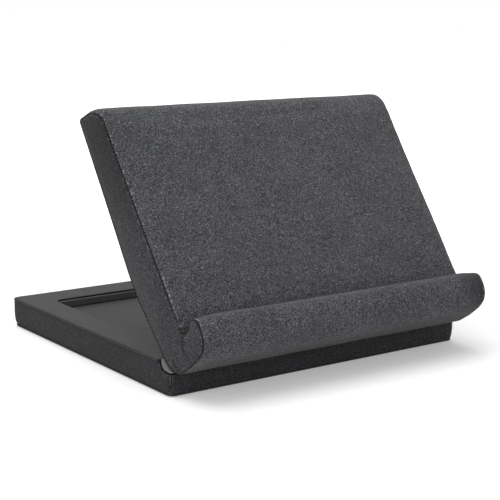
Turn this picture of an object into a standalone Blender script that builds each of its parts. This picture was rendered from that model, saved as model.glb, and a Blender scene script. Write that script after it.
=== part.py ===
# Tablet cushion stand: a padded tray base and a padded back panel with a front lip.
# The panel tilts on two friction hinges that are hidden inside the padding.
# Metres, +X to the right, +Y to the back, +Z up, origin at the centre of the underside.

import bpy
import bmesh
import math
from mathutils import Matrix, Vector

# Clearance between pieces that rest on or sit in each other
GAP = 0.0003

# Base
BASE_WIDTH = 0.272
BASE_DEPTH = 0.254
BASE_HEIGHT = 0.025
BASE_CORNER_RADIUS = 0.0045
BASE_EDGE_RADIUS = 0.0012
BAND_THICKNESS = 0.0020
TOP_COVER_THICKNESS = 0.0015
UNDERSIDE_THICKNESS = 0.0015
LINING_THICKNESS = 0.0015
BASE_BOARD_THICKNESS = 0.0025

# Storage tray in the base
TRAY_DEPTH = 0.0078
TRAY_SIDE_RIM = 0.026
TRAY_BACK_RIM = 0.034
TRAY_FRONT_RIM = 0.048
TRAY_CORNER_RADIUS = 0.005

# Seat along the base's front edge, in which the panel's heel rests
SEAT_LENGTH = 0.0157
SEAT_DROP = 0.0088
SEAT_RADIUS = 0.005
SEAT_CLEARANCE = 0.0004

# Back panel, measured from the hinge axis: forward of it and up along it
PANEL_SIDE_STEP = 0.0035
PANEL_ANGLE = math.radians(57.5)
PANEL_TOP = 0.1785
PANEL_BACK = 0.018
PANEL_FRONT = 0.0256
PANEL_TAPER = math.radians(2.2)
PANEL_TOP_SLOPE = math.radians(14)
FRONT_TOP_CORNER = 0.0075
PANEL_FLARE = 0.0024
PANEL_END_RADIUS = 0.0022
HEEL_BACK = 0.0028
HEEL_RISE = 0.035
LIP_REACH = 0.0512
LIP_TOP_DROP = 0.0057
LIP_BOTTOM_DROP = 0.0358
LIP_INNER_EDGE = 0.0403
VALLEY_DROP = 0.0111
VALLEY_WIDTH = 0.009
VALLEY_TILT = math.radians(9)
COVER_THICKNESS = 0.0015
GUSSET_THICKNESS = 0.0015

# Corner radii of the panel's section
BACK_TOP_RADIUS = 0.0045
HEEL_RISE_RADIUS = 0.150
HEEL_RADIUS = 0.018
LIP_BOTTOM_RADIUS = 0.017
LIP_FRONT_RADIUS = 0.008
LIP_INNER_RADIUS = 0.0065
VALLEY_SLOPE_RADIUS = 0.005
VALLEY_RADIUS = 0.0025
FRONT_TOP_RADIUS = 0.016
SMALLEST_RADIUS = 0.0004

# How finely curves are divided
ARC_STEP = math.radians(18)
END_STEPS = 3
TOP_CORNER_STEPS = 4
ROUND_SIDES = 24
RIVET_SIDES = 16
CORNER_STEPS = 6
TRAY_CORNER_STEPS = 4
EDGE_STEPS = 3
SEAT_STEPS = 5
SWEEP_STEPS = 6
SMOOTH_ANGLE = math.radians(35)

# Stiffener and foam inside the panel
PANEL_BOARD_THICKNESS = 0.0025
PANEL_BOARD_MARGIN = 0.010
FOAM_SPLIT = 0.006
FOAM_CLEARANCE = 2 * GAP

# Friction hinges
HINGE_SETBACK = 0.0179
HINGE_INSET = 0.0475
PIN_RADIUS = 0.0024
PIN_HEAD_RADIUS = 0.0038
PIN_HEAD_THICKNESS = 0.0012
PIN_CLEARANCE = 0.0003
KNUCKLE_RADIUS = 0.0044
CENTRE_KNUCKLE_WIDTH = 0.0134
OUTER_KNUCKLE_WIDTH = 0.0067
WASHER_THICKNESS = 0.0010
WASHER_RADIUS = 0.0042
LEAF_THICKNESS = 0.0020
BASE_FOOT_LENGTH = 0.026
PANEL_LEAF_LENGTH = 0.042
KNUCKLE_CLEARANCE = 0.0012
POCKET_CLEARANCE = 0.0010
LEAF_CORNER_RADIUS = 0.0025

# Rivets
RIVET_RADIUS = 0.0016
RIVET_HEAD_RADIUS = 0.0031
RIVET_HEAD_THICKNESS = 0.0010
RIVET_INSET = 0.005

# Values that follow from the sizes above
BASE_FRONT = -BASE_DEPTH / 2
PANEL_WIDTH = BASE_WIDTH - 2 * PANEL_SIDE_STEP
HINGE_SPACING = PANEL_WIDTH - 2 * HINGE_INSET
HINGE_Y = BASE_FRONT + HINGE_SETBACK
HINGE_Z = BASE_HEIGHT + GAP + PANEL_BACK
SEAT_FLOOR = BASE_HEIGHT - SEAT_DROP
SEAT_BACK = BASE_FRONT + SEAT_LENGTH
BAND_BOTTOM = UNDERSIDE_THICKNESS + GAP
BAND_TOP = BASE_HEIGHT - TOP_COVER_THICKNESS - GAP
BOARD_TOP = BAND_BOTTOM + BASE_BOARD_THICKNESS
TRAY_FLOOR = BASE_HEIGHT - TRAY_DEPTH
TRAY_WIDTH = BASE_WIDTH - 2 * TRAY_SIDE_RIM
TRAY_LENGTH = BASE_DEPTH - TRAY_BACK_RIM - TRAY_FRONT_RIM
TRAY_Y = BASE_FRONT + TRAY_FRONT_RIM + TRAY_LENGTH / 2
BOARD_BACK = LEAF_THICKNESS / 2 + GAP
BOARD_FRONT = BOARD_BACK + PANEL_BOARD_THICKNESS
KNUCKLE_GAP = WASHER_THICKNESS + 2 * GAP
LEAF_WIDTH = CENTRE_KNUCKLE_WIDTH + 2 * (KNUCKLE_GAP + OUTER_KNUCKLE_WIDTH)
PIN_LENGTH = LEAF_WIDTH + 2 * GAP
POCKET_WIDTH = PIN_LENGTH + 2 * (PIN_HEAD_THICKNESS + POCKET_CLEARANCE)
RIVET_HOLE_RADIUS = RIVET_RADIUS + PIN_CLEARANCE
BORE_RADIUS = PIN_RADIUS + PIN_CLEARANCE
KNUCKLE_ROOM = KNUCKLE_RADIUS + KNUCKLE_CLEARANCE
LEAF_SHOULDER = KNUCKLE_ROOM + PIN_HEAD_THICKNESS + GAP

# Longer than any piece, for cutters that run past everything
FAR = 0.5

# Looks as colour, roughness and metallic
PLUSH = ((0.072, 0.074, 0.078), 0.95)
PLUSH_DARK = ((0.040, 0.042, 0.046), 0.95)
SMOOTH_GREY = ((0.105, 0.103, 0.112), 0.8)
STRIP_GREY = ((0.200, 0.200, 0.210), 0.8)
FOAM = ((0.62, 0.60, 0.52), 0.9)
BOARD = ((0.30, 0.19, 0.10), 0.8)
STEEL = ((0.55, 0.56, 0.58), 0.35, 1.0)


def clear_scene():
    for obj in list(bpy.data.objects):
        bpy.data.objects.remove(obj, do_unlink=True)


def make_collection(name):
    collection = bpy.data.collections.new(name)
    bpy.context.scene.collection.children.link(collection)
    return collection


def make_material(name, colour, roughness, metallic=0.0):
    material = bpy.data.materials.new(name)
    material.use_nodes = True
    shader = material.node_tree.nodes["Principled BSDF"]
    shader.inputs["Base Color"].default_value = (*colour, 1.0)
    shader.inputs["Roughness"].default_value = roughness
    shader.inputs["Metallic"].default_value = metallic
    material.diffuse_color = (*colour, 1.0)
    return material


def add_object(name, bm, collection, parent=None):
    """Turn a bmesh into an object, with its faces pointing out."""
    bmesh.ops.recalc_face_normals(bm, faces=bm.faces)
    mesh = bpy.data.meshes.new(name)
    bm.to_mesh(mesh)
    bm.free()
    obj = bpy.data.objects.new(name, mesh)
    collection.objects.link(obj)
    obj.parent = parent
    return obj


def add_piece(name, bm, look, parent=None):
    """One sub-part with a material of its own."""
    obj = add_object(name, bm, parts, parent)
    obj.data.materials.append(make_material(name, *look))
    obj.data.shade_smooth()
    obj.data.set_sharp_from_angle(angle=SMOOTH_ANGLE)
    return obj


def add_cutter(name, bm, parent=None):
    obj = add_object(name, bm, cutters, parent)
    obj.hide_render = True
    obj.display_type = "WIRE"
    return obj


def cut(obj, *others, operation="DIFFERENCE"):
    for other in others:
        modifier = obj.modifiers.new(f"{operation.title()} {other.name}", "BOOLEAN")
        modifier.operation = operation
        modifier.solver = "EXACT"
        modifier.object = other
    return obj


def join(obj, *others):
    return cut(obj, *others, operation="UNION")


def box(low, high):
    """Closed box between two corners."""
    bm = bmesh.new()
    bmesh.ops.create_cube(bm, size=1.0)
    bmesh.ops.scale(bm, vec=Vector(high) - Vector(low), verts=bm.verts)
    bmesh.ops.translate(bm, vec=(Vector(high) + Vector(low)) / 2, verts=bm.verts)
    return bm


def round_edges(bm, edges, radius, segments):
    bmesh.ops.bevel(bm, geom=edges, offset=radius, segments=segments, affect="EDGES", profile=0.5)


def edges_along(bm, axis):
    """Straight edges that run along one axis, such as a box's four upright edges."""
    def runs_along(edge):
        step = edge.verts[1].co - edge.verts[0].co
        return abs(step[axis]) > 0.999 * step.length
    return [edge for edge in bm.edges if runs_along(edge)]


def edges_at_height(bm, height):
    return [e for e in bm.edges if all(abs(v.co.z - height) < 1e-6 for v in e.verts)]


def rounded_block(width, length, bottom, top, radius, middle_y=0.0, segments=CORNER_STEPS):
    """Upright block whose corners are rounded in plan."""
    bm = box((-width / 2, middle_y - length / 2, bottom), (width / 2, middle_y + length / 2, top))
    round_edges(bm, edges_along(bm, 2), radius, segments)
    return bm


def base_block(inset, bottom, top):
    """Block that follows the base's plan, drawn in by an inset."""
    return rounded_block(BASE_WIDTH - 2 * inset, BASE_DEPTH - 2 * inset, bottom, top,
                         BASE_CORNER_RADIUS - inset)


def tray_block(outset, bottom, top):
    """Block that follows the tray's plan, grown by an outset."""
    return rounded_block(TRAY_WIDTH + 2 * outset, TRAY_LENGTH + 2 * outset, bottom, top,
                         TRAY_CORNER_RADIUS + outset, TRAY_Y, TRAY_CORNER_STEPS)


def cylinder(radius, start, end, along="X", segments=ROUND_SIDES):
    """Closed cylinder between two places on an axis, centred on that axis."""
    bm = bmesh.new()
    bmesh.ops.create_cone(bm, cap_ends=True, segments=segments, radius1=radius, radius2=radius,
                          depth=end - start)
    bmesh.ops.translate(bm, vec=(0, 0, (start + end) / 2), verts=bm.verts)
    turns = {"X": Matrix.Rotation(math.radians(90), 3, "Y"),
             "Y": Matrix.Rotation(math.radians(-90), 3, "X"),
             "Z": Matrix.Identity(3)}
    bmesh.ops.rotate(bm, cent=(0, 0, 0), matrix=turns[along], verts=bm.verts)
    return bm


def moved(bm, place):
    bmesh.ops.translate(bm, vec=place, verts=bm.verts)
    return bm


def panel_corners(drop=0):
    """Corners of the panel's section as (forward, up, radius), anticlockwise from the back's top.
    The drop lowers the top's front corner."""
    slope = math.tan(PANEL_TOP_SLOPE)
    taper = math.tan(PANEL_TAPER)
    top_reach = (PANEL_FRONT + PANEL_BACK - PANEL_TOP * taper) / (1 - slope * taper)
    top_front = PANEL_TOP - top_reach * slope - drop
    valley = -VALLEY_DROP - VALLEY_WIDTH * math.tan(VALLEY_TILT)
    valley_front = PANEL_FRONT - valley * taper
    return [
        (-PANEL_BACK, PANEL_TOP, BACK_TOP_RADIUS),
        (-PANEL_BACK, HEEL_RISE, HEEL_RISE_RADIUS),
        (-HEEL_BACK, -LIP_BOTTOM_DROP, HEEL_RADIUS),
        (LIP_REACH, -LIP_BOTTOM_DROP, LIP_BOTTOM_RADIUS),
        (LIP_REACH, -LIP_TOP_DROP, LIP_FRONT_RADIUS),
        (LIP_INNER_EDGE, -LIP_TOP_DROP, LIP_INNER_RADIUS),
        (valley_front + VALLEY_WIDTH, -VALLEY_DROP, VALLEY_SLOPE_RADIUS),
        (valley_front, valley, VALLEY_RADIUS),
        (PANEL_FRONT - top_front * taper, top_front, FRONT_TOP_RADIUS),
    ]


def corner_turns(corners):
    """Each corner with the directions of the sides that meet there and the turn between them."""
    places = [Vector(corner[:2]) for corner in corners]
    turns = []
    for i, place in enumerate(places):
        before = (place - places[i - 1]).normalized()
        after = (places[(i + 1) % len(places)] - place).normalized()
        turn = math.atan2(before.cross(after), before.dot(after))
        turns.append((place, before, after, turn, corners[i][2]))
    return turns


def inset_corners(corners, inset):
    """The same section drawn in by an even inset."""
    result = []
    for place, before, after, turn, radius in corner_turns(corners):
        inward = Vector((-before.y, before.x)) + Vector((-after.y, after.x))
        shift = inward * (inset / (1 + before.dot(after)))
        new_radius = radius - inset if turn > 0 else radius + inset
        result.append((*(place + shift), max(new_radius, SMALLEST_RADIUS)))
    return result


def arc_steps():
    """How many steps each corner's arc has. Every ring of the panel has the same number."""
    return [max(2, round(abs(turn) / ARC_STEP)) for *_, turn, _ in corner_turns(panel_corners())]


def rounded_outline(corners):
    """Points of the section with each corner as an arc."""
    points = []
    for (place, before, after, turn, radius), steps in zip(corner_turns(corners), arc_steps()):
        start = place - before * radius * math.tan(abs(turn) / 2)
        side = Vector((-before.y, before.x)) * math.copysign(1, turn)
        centre = start + side * radius
        spoke = start - centre
        for k in range(steps + 1):
            angle = turn * k / steps
            points.append(centre + Vector((spoke.x * math.cos(angle) - spoke.y * math.sin(angle),
                                           spoke.x * math.sin(angle) + spoke.y * math.cos(angle))))
    return points


def corner_drop(x, depth):
    """How far the rounded top front corner has dropped at a place along the panel."""
    beyond = max(x - (PANEL_WIDTH / 2 - FRONT_TOP_CORNER), 0)
    radius = FRONT_TOP_CORNER - depth
    return radius - math.sqrt(max(radius ** 2 - beyond ** 2, 0))


def panel_stations(depth):
    """Places along the right half of the panel as (x, inset, drop), from the middle out. The ends
    round over by PANEL_END_RADIUS, and the top front corners drop."""
    half = PANEL_WIDTH / 2
    corner_start = half - FRONT_TOP_CORNER
    round_start = half - PANEL_END_RADIUS
    end_radius = PANEL_END_RADIUS - depth
    places = [(corner_start + (round_start - corner_start) * k / TOP_CORNER_STEPS, depth)
              for k in range(TOP_CORNER_STEPS)]
    for k in range(END_STEPS + 1):
        angle = math.radians(90) * k / END_STEPS
        places.append((round_start + end_radius * math.sin(angle),
                       PANEL_END_RADIUS - end_radius * math.cos(angle)))
    return [(x, inset, corner_drop(x, depth)) for x, inset in places]


def panel_ring(bm, x, inset, drop):
    """One section of the panel as a ring of vertices. Locally +Y points back and +Z up the panel.
    The panel widens by PANEL_FLARE on each side from the axis to its top."""
    corners = inset_corners(panel_corners(drop), inset)
    flare = x / (PANEL_WIDTH / 2) * PANEL_FLARE / PANEL_TOP
    return [bm.verts.new((x + flare * up, -forward, up)) for forward, up in rounded_outline(corners)]


def loft(bm, rings, capped):
    for first, second in zip(rings, rings[1:]):
        for i in range(len(first)):
            j = (i + 1) % len(first)
            bm.faces.new((first[i], first[j], second[j], second[i]))
    if capped:
        bm.faces.new(rings[0])
        bm.faces.new(reversed(rings[-1]))
    bm.normal_update()
    return bm


def panel_rings(bm, depth):
    """Rings of the panel's form from left to right, at one depth below its outer skin."""
    right = panel_stations(depth)
    stations = [(-x, *rest) for x, *rest in reversed(right)] + right
    return [panel_ring(bm, *station) for station in stations]


def panel_form(depth):
    """The panel's closed form at one depth below its outer skin."""
    bm = bmesh.new()
    return loft(bm, panel_rings(bm, depth), True)


def panel_shell(thickness):
    """Wall of the panel's cover: the outer skin, then the inner one back, open at both ends."""
    bm = bmesh.new()
    outer = panel_rings(bm, 0)
    inner = panel_rings(bm, thickness)
    return loft(bm, outer + inner[::-1] + outer[:1], False)


def section_prism(points, half_width):
    """Prism across the panel from an outline of (forward, up) points."""
    bm = bmesh.new()
    rings = [[bm.verts.new((x, -forward, up)) for forward, up in points]
             for x in (-half_width, half_width)]
    return loft(bm, rings, True)


def hinge_sides():
    return (("left", -HINGE_SPACING / 2), ("right", HINGE_SPACING / 2))


def seat_block(back, bottom):
    """Block that fills the seat along the base's front edge, rounded at its inner bottom corner."""
    bm = box((-BASE_WIDTH, BASE_FRONT - SEAT_LENGTH, bottom),
             (BASE_WIDTH, back, BASE_HEIGHT + SEAT_DROP))
    low = [e for e in edges_along(bm, 0)
           if all(v.co.y > BASE_FRONT and v.co.z < BASE_HEIGHT for v in e.verts)]
    round_edges(bm, low, SEAT_RADIUS, SEAT_STEPS)
    return bm


def build_underside():
    bm = base_block(0, 0, UNDERSIDE_THICKNESS)
    round_edges(bm, edges_at_height(bm, 0), BASE_EDGE_RADIUS, EDGE_STEPS)
    add_piece("base_underside_cover", bm, PLUSH_DARK)


def build_base_board():
    bm = base_block(BAND_THICKNESS + GAP, BAND_BOTTOM, BOARD_TOP)
    board = add_piece("base_board", bm, BOARD)
    for side, x in hinge_sides():
        for number, place in enumerate(base_rivet_places(x), 1):
            hole = cylinder(RIVET_HOLE_RADIUS, BAND_BOTTOM - GAP, BOARD_TOP + GAP, "Z", RIVET_SIDES)
            cut(board, add_cutter(f"{side}_board_hole_{number}", moved(hole, place)))


def build_side_band(seat):
    band = add_piece("base_side_band", base_block(0, BAND_BOTTOM, BAND_TOP), PLUSH_DARK)
    inner = base_block(BAND_THICKNESS, 0, BASE_HEIGHT)
    cut(band, add_cutter("band_cutter", inner), seat)


def build_base_foam(seat):
    bm = base_block(BAND_THICKNESS + GAP, BOARD_TOP + GAP, BAND_TOP)
    foam = add_piece("base_foam", bm, FOAM)
    tray = tray_block(LINING_THICKNESS + GAP, TRAY_FLOOR - LINING_THICKNESS - GAP, BASE_HEIGHT)
    cut(foam, add_cutter("foam_tray_cutter", tray), seat)
    for side, x in hinge_sides():
        cut(foam, add_cutter(f"{side}_foam_foot_pocket", foot_pocket(x)),
            add_cutter(f"{side}_foam_strap_slot", strap_slot(x)))


def build_top_cover(seat):
    bm = base_block(0, BASE_HEIGHT - TOP_COVER_THICKNESS, BASE_HEIGHT)
    round_edges(bm, edges_at_height(bm, BASE_HEIGHT), BASE_EDGE_RADIUS, EDGE_STEPS)
    cover = add_piece("base_top_cover", bm, SMOOTH_GREY)
    opening = tray_block(0, 0, BASE_HEIGHT + TRAY_DEPTH)
    cut(cover, add_cutter("top_cover_opening", opening), seat)
    for side, x in hinge_sides():
        cut(cover, add_cutter(f"{side}_cover_strap_slot", strap_slot(x)))


def build_tray_linings():
    bottom = TRAY_FLOOR - LINING_THICKNESS
    add_piece("tray_floor_lining", tray_block(-GAP, bottom, TRAY_FLOOR), SMOOTH_GREY)
    wall = add_piece("tray_wall_lining", tray_block(LINING_THICKNESS, bottom, BAND_TOP), SMOOTH_GREY)
    cut(wall, add_cutter("tray_wall_cutter", tray_block(0, 0, BASE_HEIGHT)))


def build_joint_strip(pivot):
    """Soft strip that fills the seat round the heel. Its ends show as a crescent."""
    bm = base_block(0, SEAT_FLOOR, BASE_HEIGHT)
    strip = add_piece("joint_strip", bm, STRIP_GREY)
    keep = seat_block(SEAT_BACK - GAP, SEAT_FLOOR)
    cut(strip, add_cutter("strip_keep", keep), operation="INTERSECT")
    outline = rounded_outline(inset_corners(panel_corners(), -SEAT_CLEARANCE))
    cut(strip, add_cutter("strip_heel_cutter", section_prism(outline, BASE_WIDTH), pivot))


def strap_slot(x):
    """Slot through the padding for a base leaf's upright strap. In front it opens into the seat,
    under the seat's rounded corner."""
    half = LEAF_WIDTH / 2 + POCKET_CLEARANCE
    return box((x - half, SEAT_BACK - SEAT_RADIUS, BOARD_TOP),
               (x + half, HINGE_Y + LEAF_THICKNESS / 2 + POCKET_CLEARANCE, HINGE_Z))


def foot_pocket(x):
    """Room in the base foam for a base leaf's foot and its rivet heads."""
    half = LEAF_WIDTH / 2 + POCKET_CLEARANCE
    reach = BASE_FOOT_LENGTH / 2 + POCKET_CLEARANCE
    top = BOARD_TOP + GAP + LEAF_THICKNESS + GAP + RIVET_HEAD_THICKNESS + POCKET_CLEARANCE
    return box((x - half, HINGE_Y - reach, BOARD_TOP), (x + half, HINGE_Y + reach, top))


def base_rivet_places(x):
    """Three rivets through a base leaf's foot: two behind the strap and one in front."""
    across = LEAF_WIDTH / 2 - RIVET_INSET
    back = BASE_FOOT_LENGTH / 2 - RIVET_INSET
    return [(x - across, HINGE_Y + back, 0), (x + across, HINGE_Y + back, 0), (x, HINGE_Y - back, 0)]


def panel_rivet_places(x):
    """Three rivets through a panel leaf, as (x, height above the axis)."""
    across = LEAF_WIDTH / 2 - RIVET_INSET
    top = PANEL_LEAF_LENGTH - RIVET_INSET
    low = PANEL_LEAF_LENGTH / 2
    return [(x - across, top), (x + across, top), (x, low)]


def build_rivet(name, place, grip, parent=None, turn=None):
    """Rivet whose shank fills a grip length down from under its round head."""
    shank = cylinder(RIVET_RADIUS, -grip, RIVET_HEAD_THICKNESS / 2, "Z", RIVET_SIDES)
    head = cylinder(RIVET_HEAD_RADIUS, 0, RIVET_HEAD_THICKNESS, "Z", RIVET_SIDES)
    round_edges(head, edges_at_height(head, RIVET_HEAD_THICKNESS), RIVET_HEAD_THICKNESS / 2, 2)
    rivet = add_piece(name, head, STEEL, parent)
    shank_cutter = add_cutter(f"{name}_shank", shank, parent)
    for obj in (rivet, shank_cutter):
        obj.location = place
        if turn:
            obj.rotation_euler = turn
    join(rivet, shank_cutter)


def build_base_leaf(side, x, axis):
    """Angle leaf: a foot on the base board, an upright strap and two outer knuckles."""
    half = LEAF_WIDTH / 2
    inner = half - OUTER_KNUCKLE_WIDTH
    foot_bottom = BOARD_TOP + GAP - HINGE_Z
    thick = LEAF_THICKNESS
    foot = box((-half, -BASE_FOOT_LENGTH / 2, foot_bottom),
               (half, BASE_FOOT_LENGTH / 2, foot_bottom + thick))
    round_edges(foot, edges_along(foot, 2), LEAF_CORNER_RADIUS, EDGE_STEPS)
    leaf = add_piece(f"{side}_hinge_base_leaf", foot, STEEL, axis)
    strap = add_cutter(f"{side}_base_strap",
                       box((-half, -thick / 2, foot_bottom + thick / 2), (half, thick / 2, 0)), axis)
    notch = add_cutter(f"{side}_base_strap_notch",
                       box((-inner, -FAR, -KNUCKLE_ROOM), (inner, FAR, FAR)), axis)
    barrel = add_cutter(f"{side}_base_barrel", cylinder(KNUCKLE_RADIUS, -half, half), axis)
    bore = add_cutter(f"{side}_base_bore", cylinder(BORE_RADIUS, -LEAF_WIDTH, LEAF_WIDTH), axis)
    join(leaf, strap, barrel)
    cut(leaf, notch, bore)
    for number, place in enumerate(base_rivet_places(x), 1):
        hole = cylinder(RIVET_HOLE_RADIUS, foot_bottom - GAP, foot_bottom + thick + GAP, "Z", RIVET_SIDES)
        hole = moved(hole, (place[0] - x, place[1] - HINGE_Y, 0))
        cut(leaf, add_cutter(f"{side}_base_leaf_hole_{number}", hole, axis))
        top = BOARD_TOP + GAP + thick + GAP
        build_rivet(f"{side}_base_rivet_{number}", (place[0], place[1], top), top - BAND_BOTTOM)


def build_pin(side, axis):
    """Headed pin through all three knuckles."""
    half = PIN_LENGTH / 2
    pin = add_piece(f"{side}_hinge_pin", cylinder(PIN_RADIUS, -half - PIN_HEAD_THICKNESS / 2,
                                                  half + PIN_HEAD_THICKNESS / 2), STEEL, axis)
    for end, start, stop in (("left", -half - PIN_HEAD_THICKNESS, -half),
                             ("right", half, half + PIN_HEAD_THICKNESS)):
        join(pin, add_cutter(f"{side}_pin_{end}_head", cylinder(PIN_HEAD_RADIUS, start, stop), axis))


def build_washers(side, axis):
    bore = add_cutter(f"{side}_washer_bore", cylinder(BORE_RADIUS, -LEAF_WIDTH, LEAF_WIDTH), axis)
    near = CENTRE_KNUCKLE_WIDTH / 2 + GAP
    for place, start in (("inner", near), ("outer", -near - WASHER_THICKNESS)):
        disc = cylinder(WASHER_RADIUS, start, start + WASHER_THICKNESS)
        cut(add_piece(f"{side}_friction_washer_{place}", disc, STEEL, axis), bore)


def build_panel_leaf(side, x, pivot):
    """Flat leaf riveted to the panel board, with the centre knuckle at its bottom."""
    half = LEAF_WIDTH / 2
    thick = LEAF_THICKNESS
    shoulder = LEAF_SHOULDER
    plate = box((x - half, -thick / 2, shoulder), (x + half, thick / 2, PANEL_LEAF_LENGTH))
    round_edges(plate, edges_along(plate, 1), LEAF_CORNER_RADIUS, EDGE_STEPS)
    leaf = add_piece(f"{side}_hinge_panel_leaf", plate, STEEL, pivot)
    neck_half = CENTRE_KNUCKLE_WIDTH / 2
    neck = add_cutter(f"{side}_panel_neck",
                      box((x - neck_half, -thick / 2, 0), (x + neck_half, thick / 2, 2 * shoulder)), pivot)
    barrel = add_cutter(f"{side}_panel_barrel",
                        cylinder(KNUCKLE_RADIUS, x - neck_half, x + neck_half), pivot)
    bore = add_cutter(f"{side}_panel_bore",
                      cylinder(BORE_RADIUS, x - LEAF_WIDTH, x + LEAF_WIDTH), pivot)
    join(leaf, neck, barrel)
    cut(leaf, bore)
    grip = thick + GAP + PANEL_BOARD_THICKNESS + GAP
    for number, (rivet_x, up) in enumerate(panel_rivet_places(x), 1):
        hole = cylinder(RIVET_HOLE_RADIUS, -thick, thick, "Y", RIVET_SIDES)
        cut(leaf, add_cutter(f"{side}_panel_leaf_hole_{number}", moved(hole, (rivet_x, 0, up)), pivot))
        build_rivet(f"{side}_panel_rivet_{number}", (rivet_x, thick / 2 + GAP, up), grip, pivot,
                    (math.radians(-90), 0, 0))


def build_hinges(pivot):
    for side, x in hinge_sides():
        axis = bpy.data.objects.new(f"{side}_hinge_axis", None)
        axis.location = (x, HINGE_Y, HINGE_Z)
        parts.objects.link(axis)
        build_base_leaf(side, x, axis)
        build_pin(side, axis)
        build_washers(side, axis)
        build_panel_leaf(side, x, pivot)


def strap_sweep(x):
    """Room inside the panel for a base leaf as the panel tilts: a sector from straight down
    at rest to square on to the back when the panel is folded flat, and the knuckles' room."""
    reach = LEAF_THICKNESS / 2 + POCKET_CLEARANCE
    half = LEAF_WIDTH / 2 + POCKET_CLEARANCE
    radius = PANEL_BACK + LIP_REACH
    start = math.radians(180)
    stop = start + PANEL_ANGLE
    points = [(0, reach), (-radius, reach)]
    for k in range(1, SWEEP_STEPS):
        angle = start + (stop - start) * k / SWEEP_STEPS
        points.append((radius * math.cos(angle), radius * math.sin(angle)))
    side = Vector((-math.sin(stop), math.cos(stop))) * reach
    points.append((radius * math.cos(stop) + side.x, radius * math.sin(stop) + side.y))
    points.append((side.x, side.y))
    return moved(section_prism(points, half), (x, 0, 0))


def build_panel_board(pivot):
    half = PANEL_WIDTH / 2 - PANEL_BOARD_MARGIN
    bottom = LEAF_SHOULDER
    bm = box((-half, -BOARD_FRONT, bottom), (half, -BOARD_BACK, PANEL_TOP - PANEL_BOARD_MARGIN))
    round_edges(bm, edges_along(bm, 1), PANEL_BOARD_MARGIN, CORNER_STEPS)
    board = add_piece("panel_board", bm, BOARD, pivot)
    for side, x in hinge_sides():
        for number, (rivet_x, up) in enumerate(panel_rivet_places(x), 1):
            hole = cylinder(RIVET_HOLE_RADIUS, -BOARD_FRONT - GAP, -BOARD_BACK + GAP, "Y", RIVET_SIDES)
            cut(board, add_cutter(f"{side}_panel_board_hole_{number}", moved(hole, (rivet_x, 0, up)), pivot))


def build_panel_foams(pivot):
    """Foam that fills the cover: a slab behind the board, a wedge in front and the lip's roll."""
    depth = COVER_THICKNESS + FOAM_CLEARANCE
    back = add_piece("panel_back_foam", panel_form(depth), FOAM, pivot)
    front = add_piece("panel_front_foam", panel_form(depth), FOAM, pivot)
    lip = add_piece("lip_foam", panel_form(depth), FOAM, pivot)
    below = add_cutter("below_split", box((-FAR, -FAR, -FAR), (FAR, FAR, FOAM_SPLIT + GAP)), pivot)
    above = add_cutter("above_split", box((-FAR, -FAR, FOAM_SPLIT), (FAR, FAR, FAR)), pivot)
    before_board = add_cutter("before_board_back",
                              box((-FAR, -FAR, -FAR), (FAR, -BOARD_BACK + GAP, FAR)), pivot)
    behind_board = add_cutter("behind_board_front",
                              box((-FAR, -BOARD_FRONT - GAP, -FAR), (FAR, FAR, FAR)), pivot)
    cut(back, below, before_board)
    cut(front, below, behind_board)
    cut(lip, above)
    head_room = LEAF_THICKNESS / 2 + GAP + RIVET_HEAD_THICKNESS + POCKET_CLEARANCE
    for side, x in hinge_sides():
        half = LEAF_WIDTH / 2 + POCKET_CLEARANCE
        leaf_room = box((x - half, -BOARD_FRONT, 0),
                        (x + half, head_room, PANEL_LEAF_LENGTH + POCKET_CLEARANCE))
        knuckle_room = cylinder(KNUCKLE_ROOM, x - POCKET_WIDTH / 2,
                                x + POCKET_WIDTH / 2)
        neck_room = box((x - half, -LEAF_THICKNESS, 0), (x + half, LEAF_THICKNESS, FAR))
        cut(back, add_cutter(f"{side}_leaf_room", leaf_room, pivot))
        cut(lip, add_cutter(f"{side}_knuckle_room", knuckle_room, pivot),
            add_cutter(f"{side}_neck_room", neck_room, pivot),
            add_cutter(f"{side}_foam_strap_sweep", strap_sweep(x), pivot))


def build_panel_cover(pivot):
    """One long cover that wraps the panel's section, rounded over at both ends."""
    cover = add_piece("panel_wrap_cover", panel_shell(COVER_THICKNESS), PLUSH, pivot)
    for side, x in hinge_sides():
        cut(cover, add_cutter(f"{side}_cover_strap_sweep", strap_sweep(x), pivot))


def build_gussets(pivot):
    """End gussets with the panel's J-shaped section, set inside the cover's rolled ends."""
    outer = PANEL_WIDTH / 2
    inset = PANEL_END_RADIUS + GAP
    for side, direction in (("left", -1), ("right", 1)):
        bm = bmesh.new()
        rings = [panel_ring(bm, direction * x, inset, FRONT_TOP_CORNER)
                 for x in (outer - GUSSET_THICKNESS, outer)]
        add_piece(f"{side}_end_gusset", loft(bm, rings, True), PLUSH_DARK, pivot)


clear_scene()
parts = make_collection("tablet_cushion_stand")
cutters = make_collection("cutters")

panel_pivot = bpy.data.objects.new("panel_pivot", None)
panel_pivot.location = (0, HINGE_Y, HINGE_Z)
panel_pivot.rotation_euler = (PANEL_ANGLE - math.radians(90), 0, 0)
parts.objects.link(panel_pivot)

seat_cutter = add_cutter("seat_cutter", seat_block(SEAT_BACK, SEAT_FLOOR - GAP))
build_underside()
build_base_board()
build_side_band(seat_cutter)
build_base_foam(seat_cutter)
build_top_cover(seat_cutter)
build_tray_linings()
build_joint_strip(panel_pivot)
build_hinges(panel_pivot)
build_panel_board(panel_pivot)
build_panel_foams(panel_pivot)
build_panel_cover(panel_pivot)
build_gussets(panel_pivot)
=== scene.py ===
# Looks of the tablet cushion stand: plush covers, smooth cloth, seams, stitches, light and camera.
# Lengths in the dictionaries are millimetres, and meshes are turned into metres when they are made.

import bpy
import bmesh
import math
from mathutils import Matrix, Vector, noise
from mathutils.geometry import delaunay_2d_cdt
from mathutils.kdtree import KDTree


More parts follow.
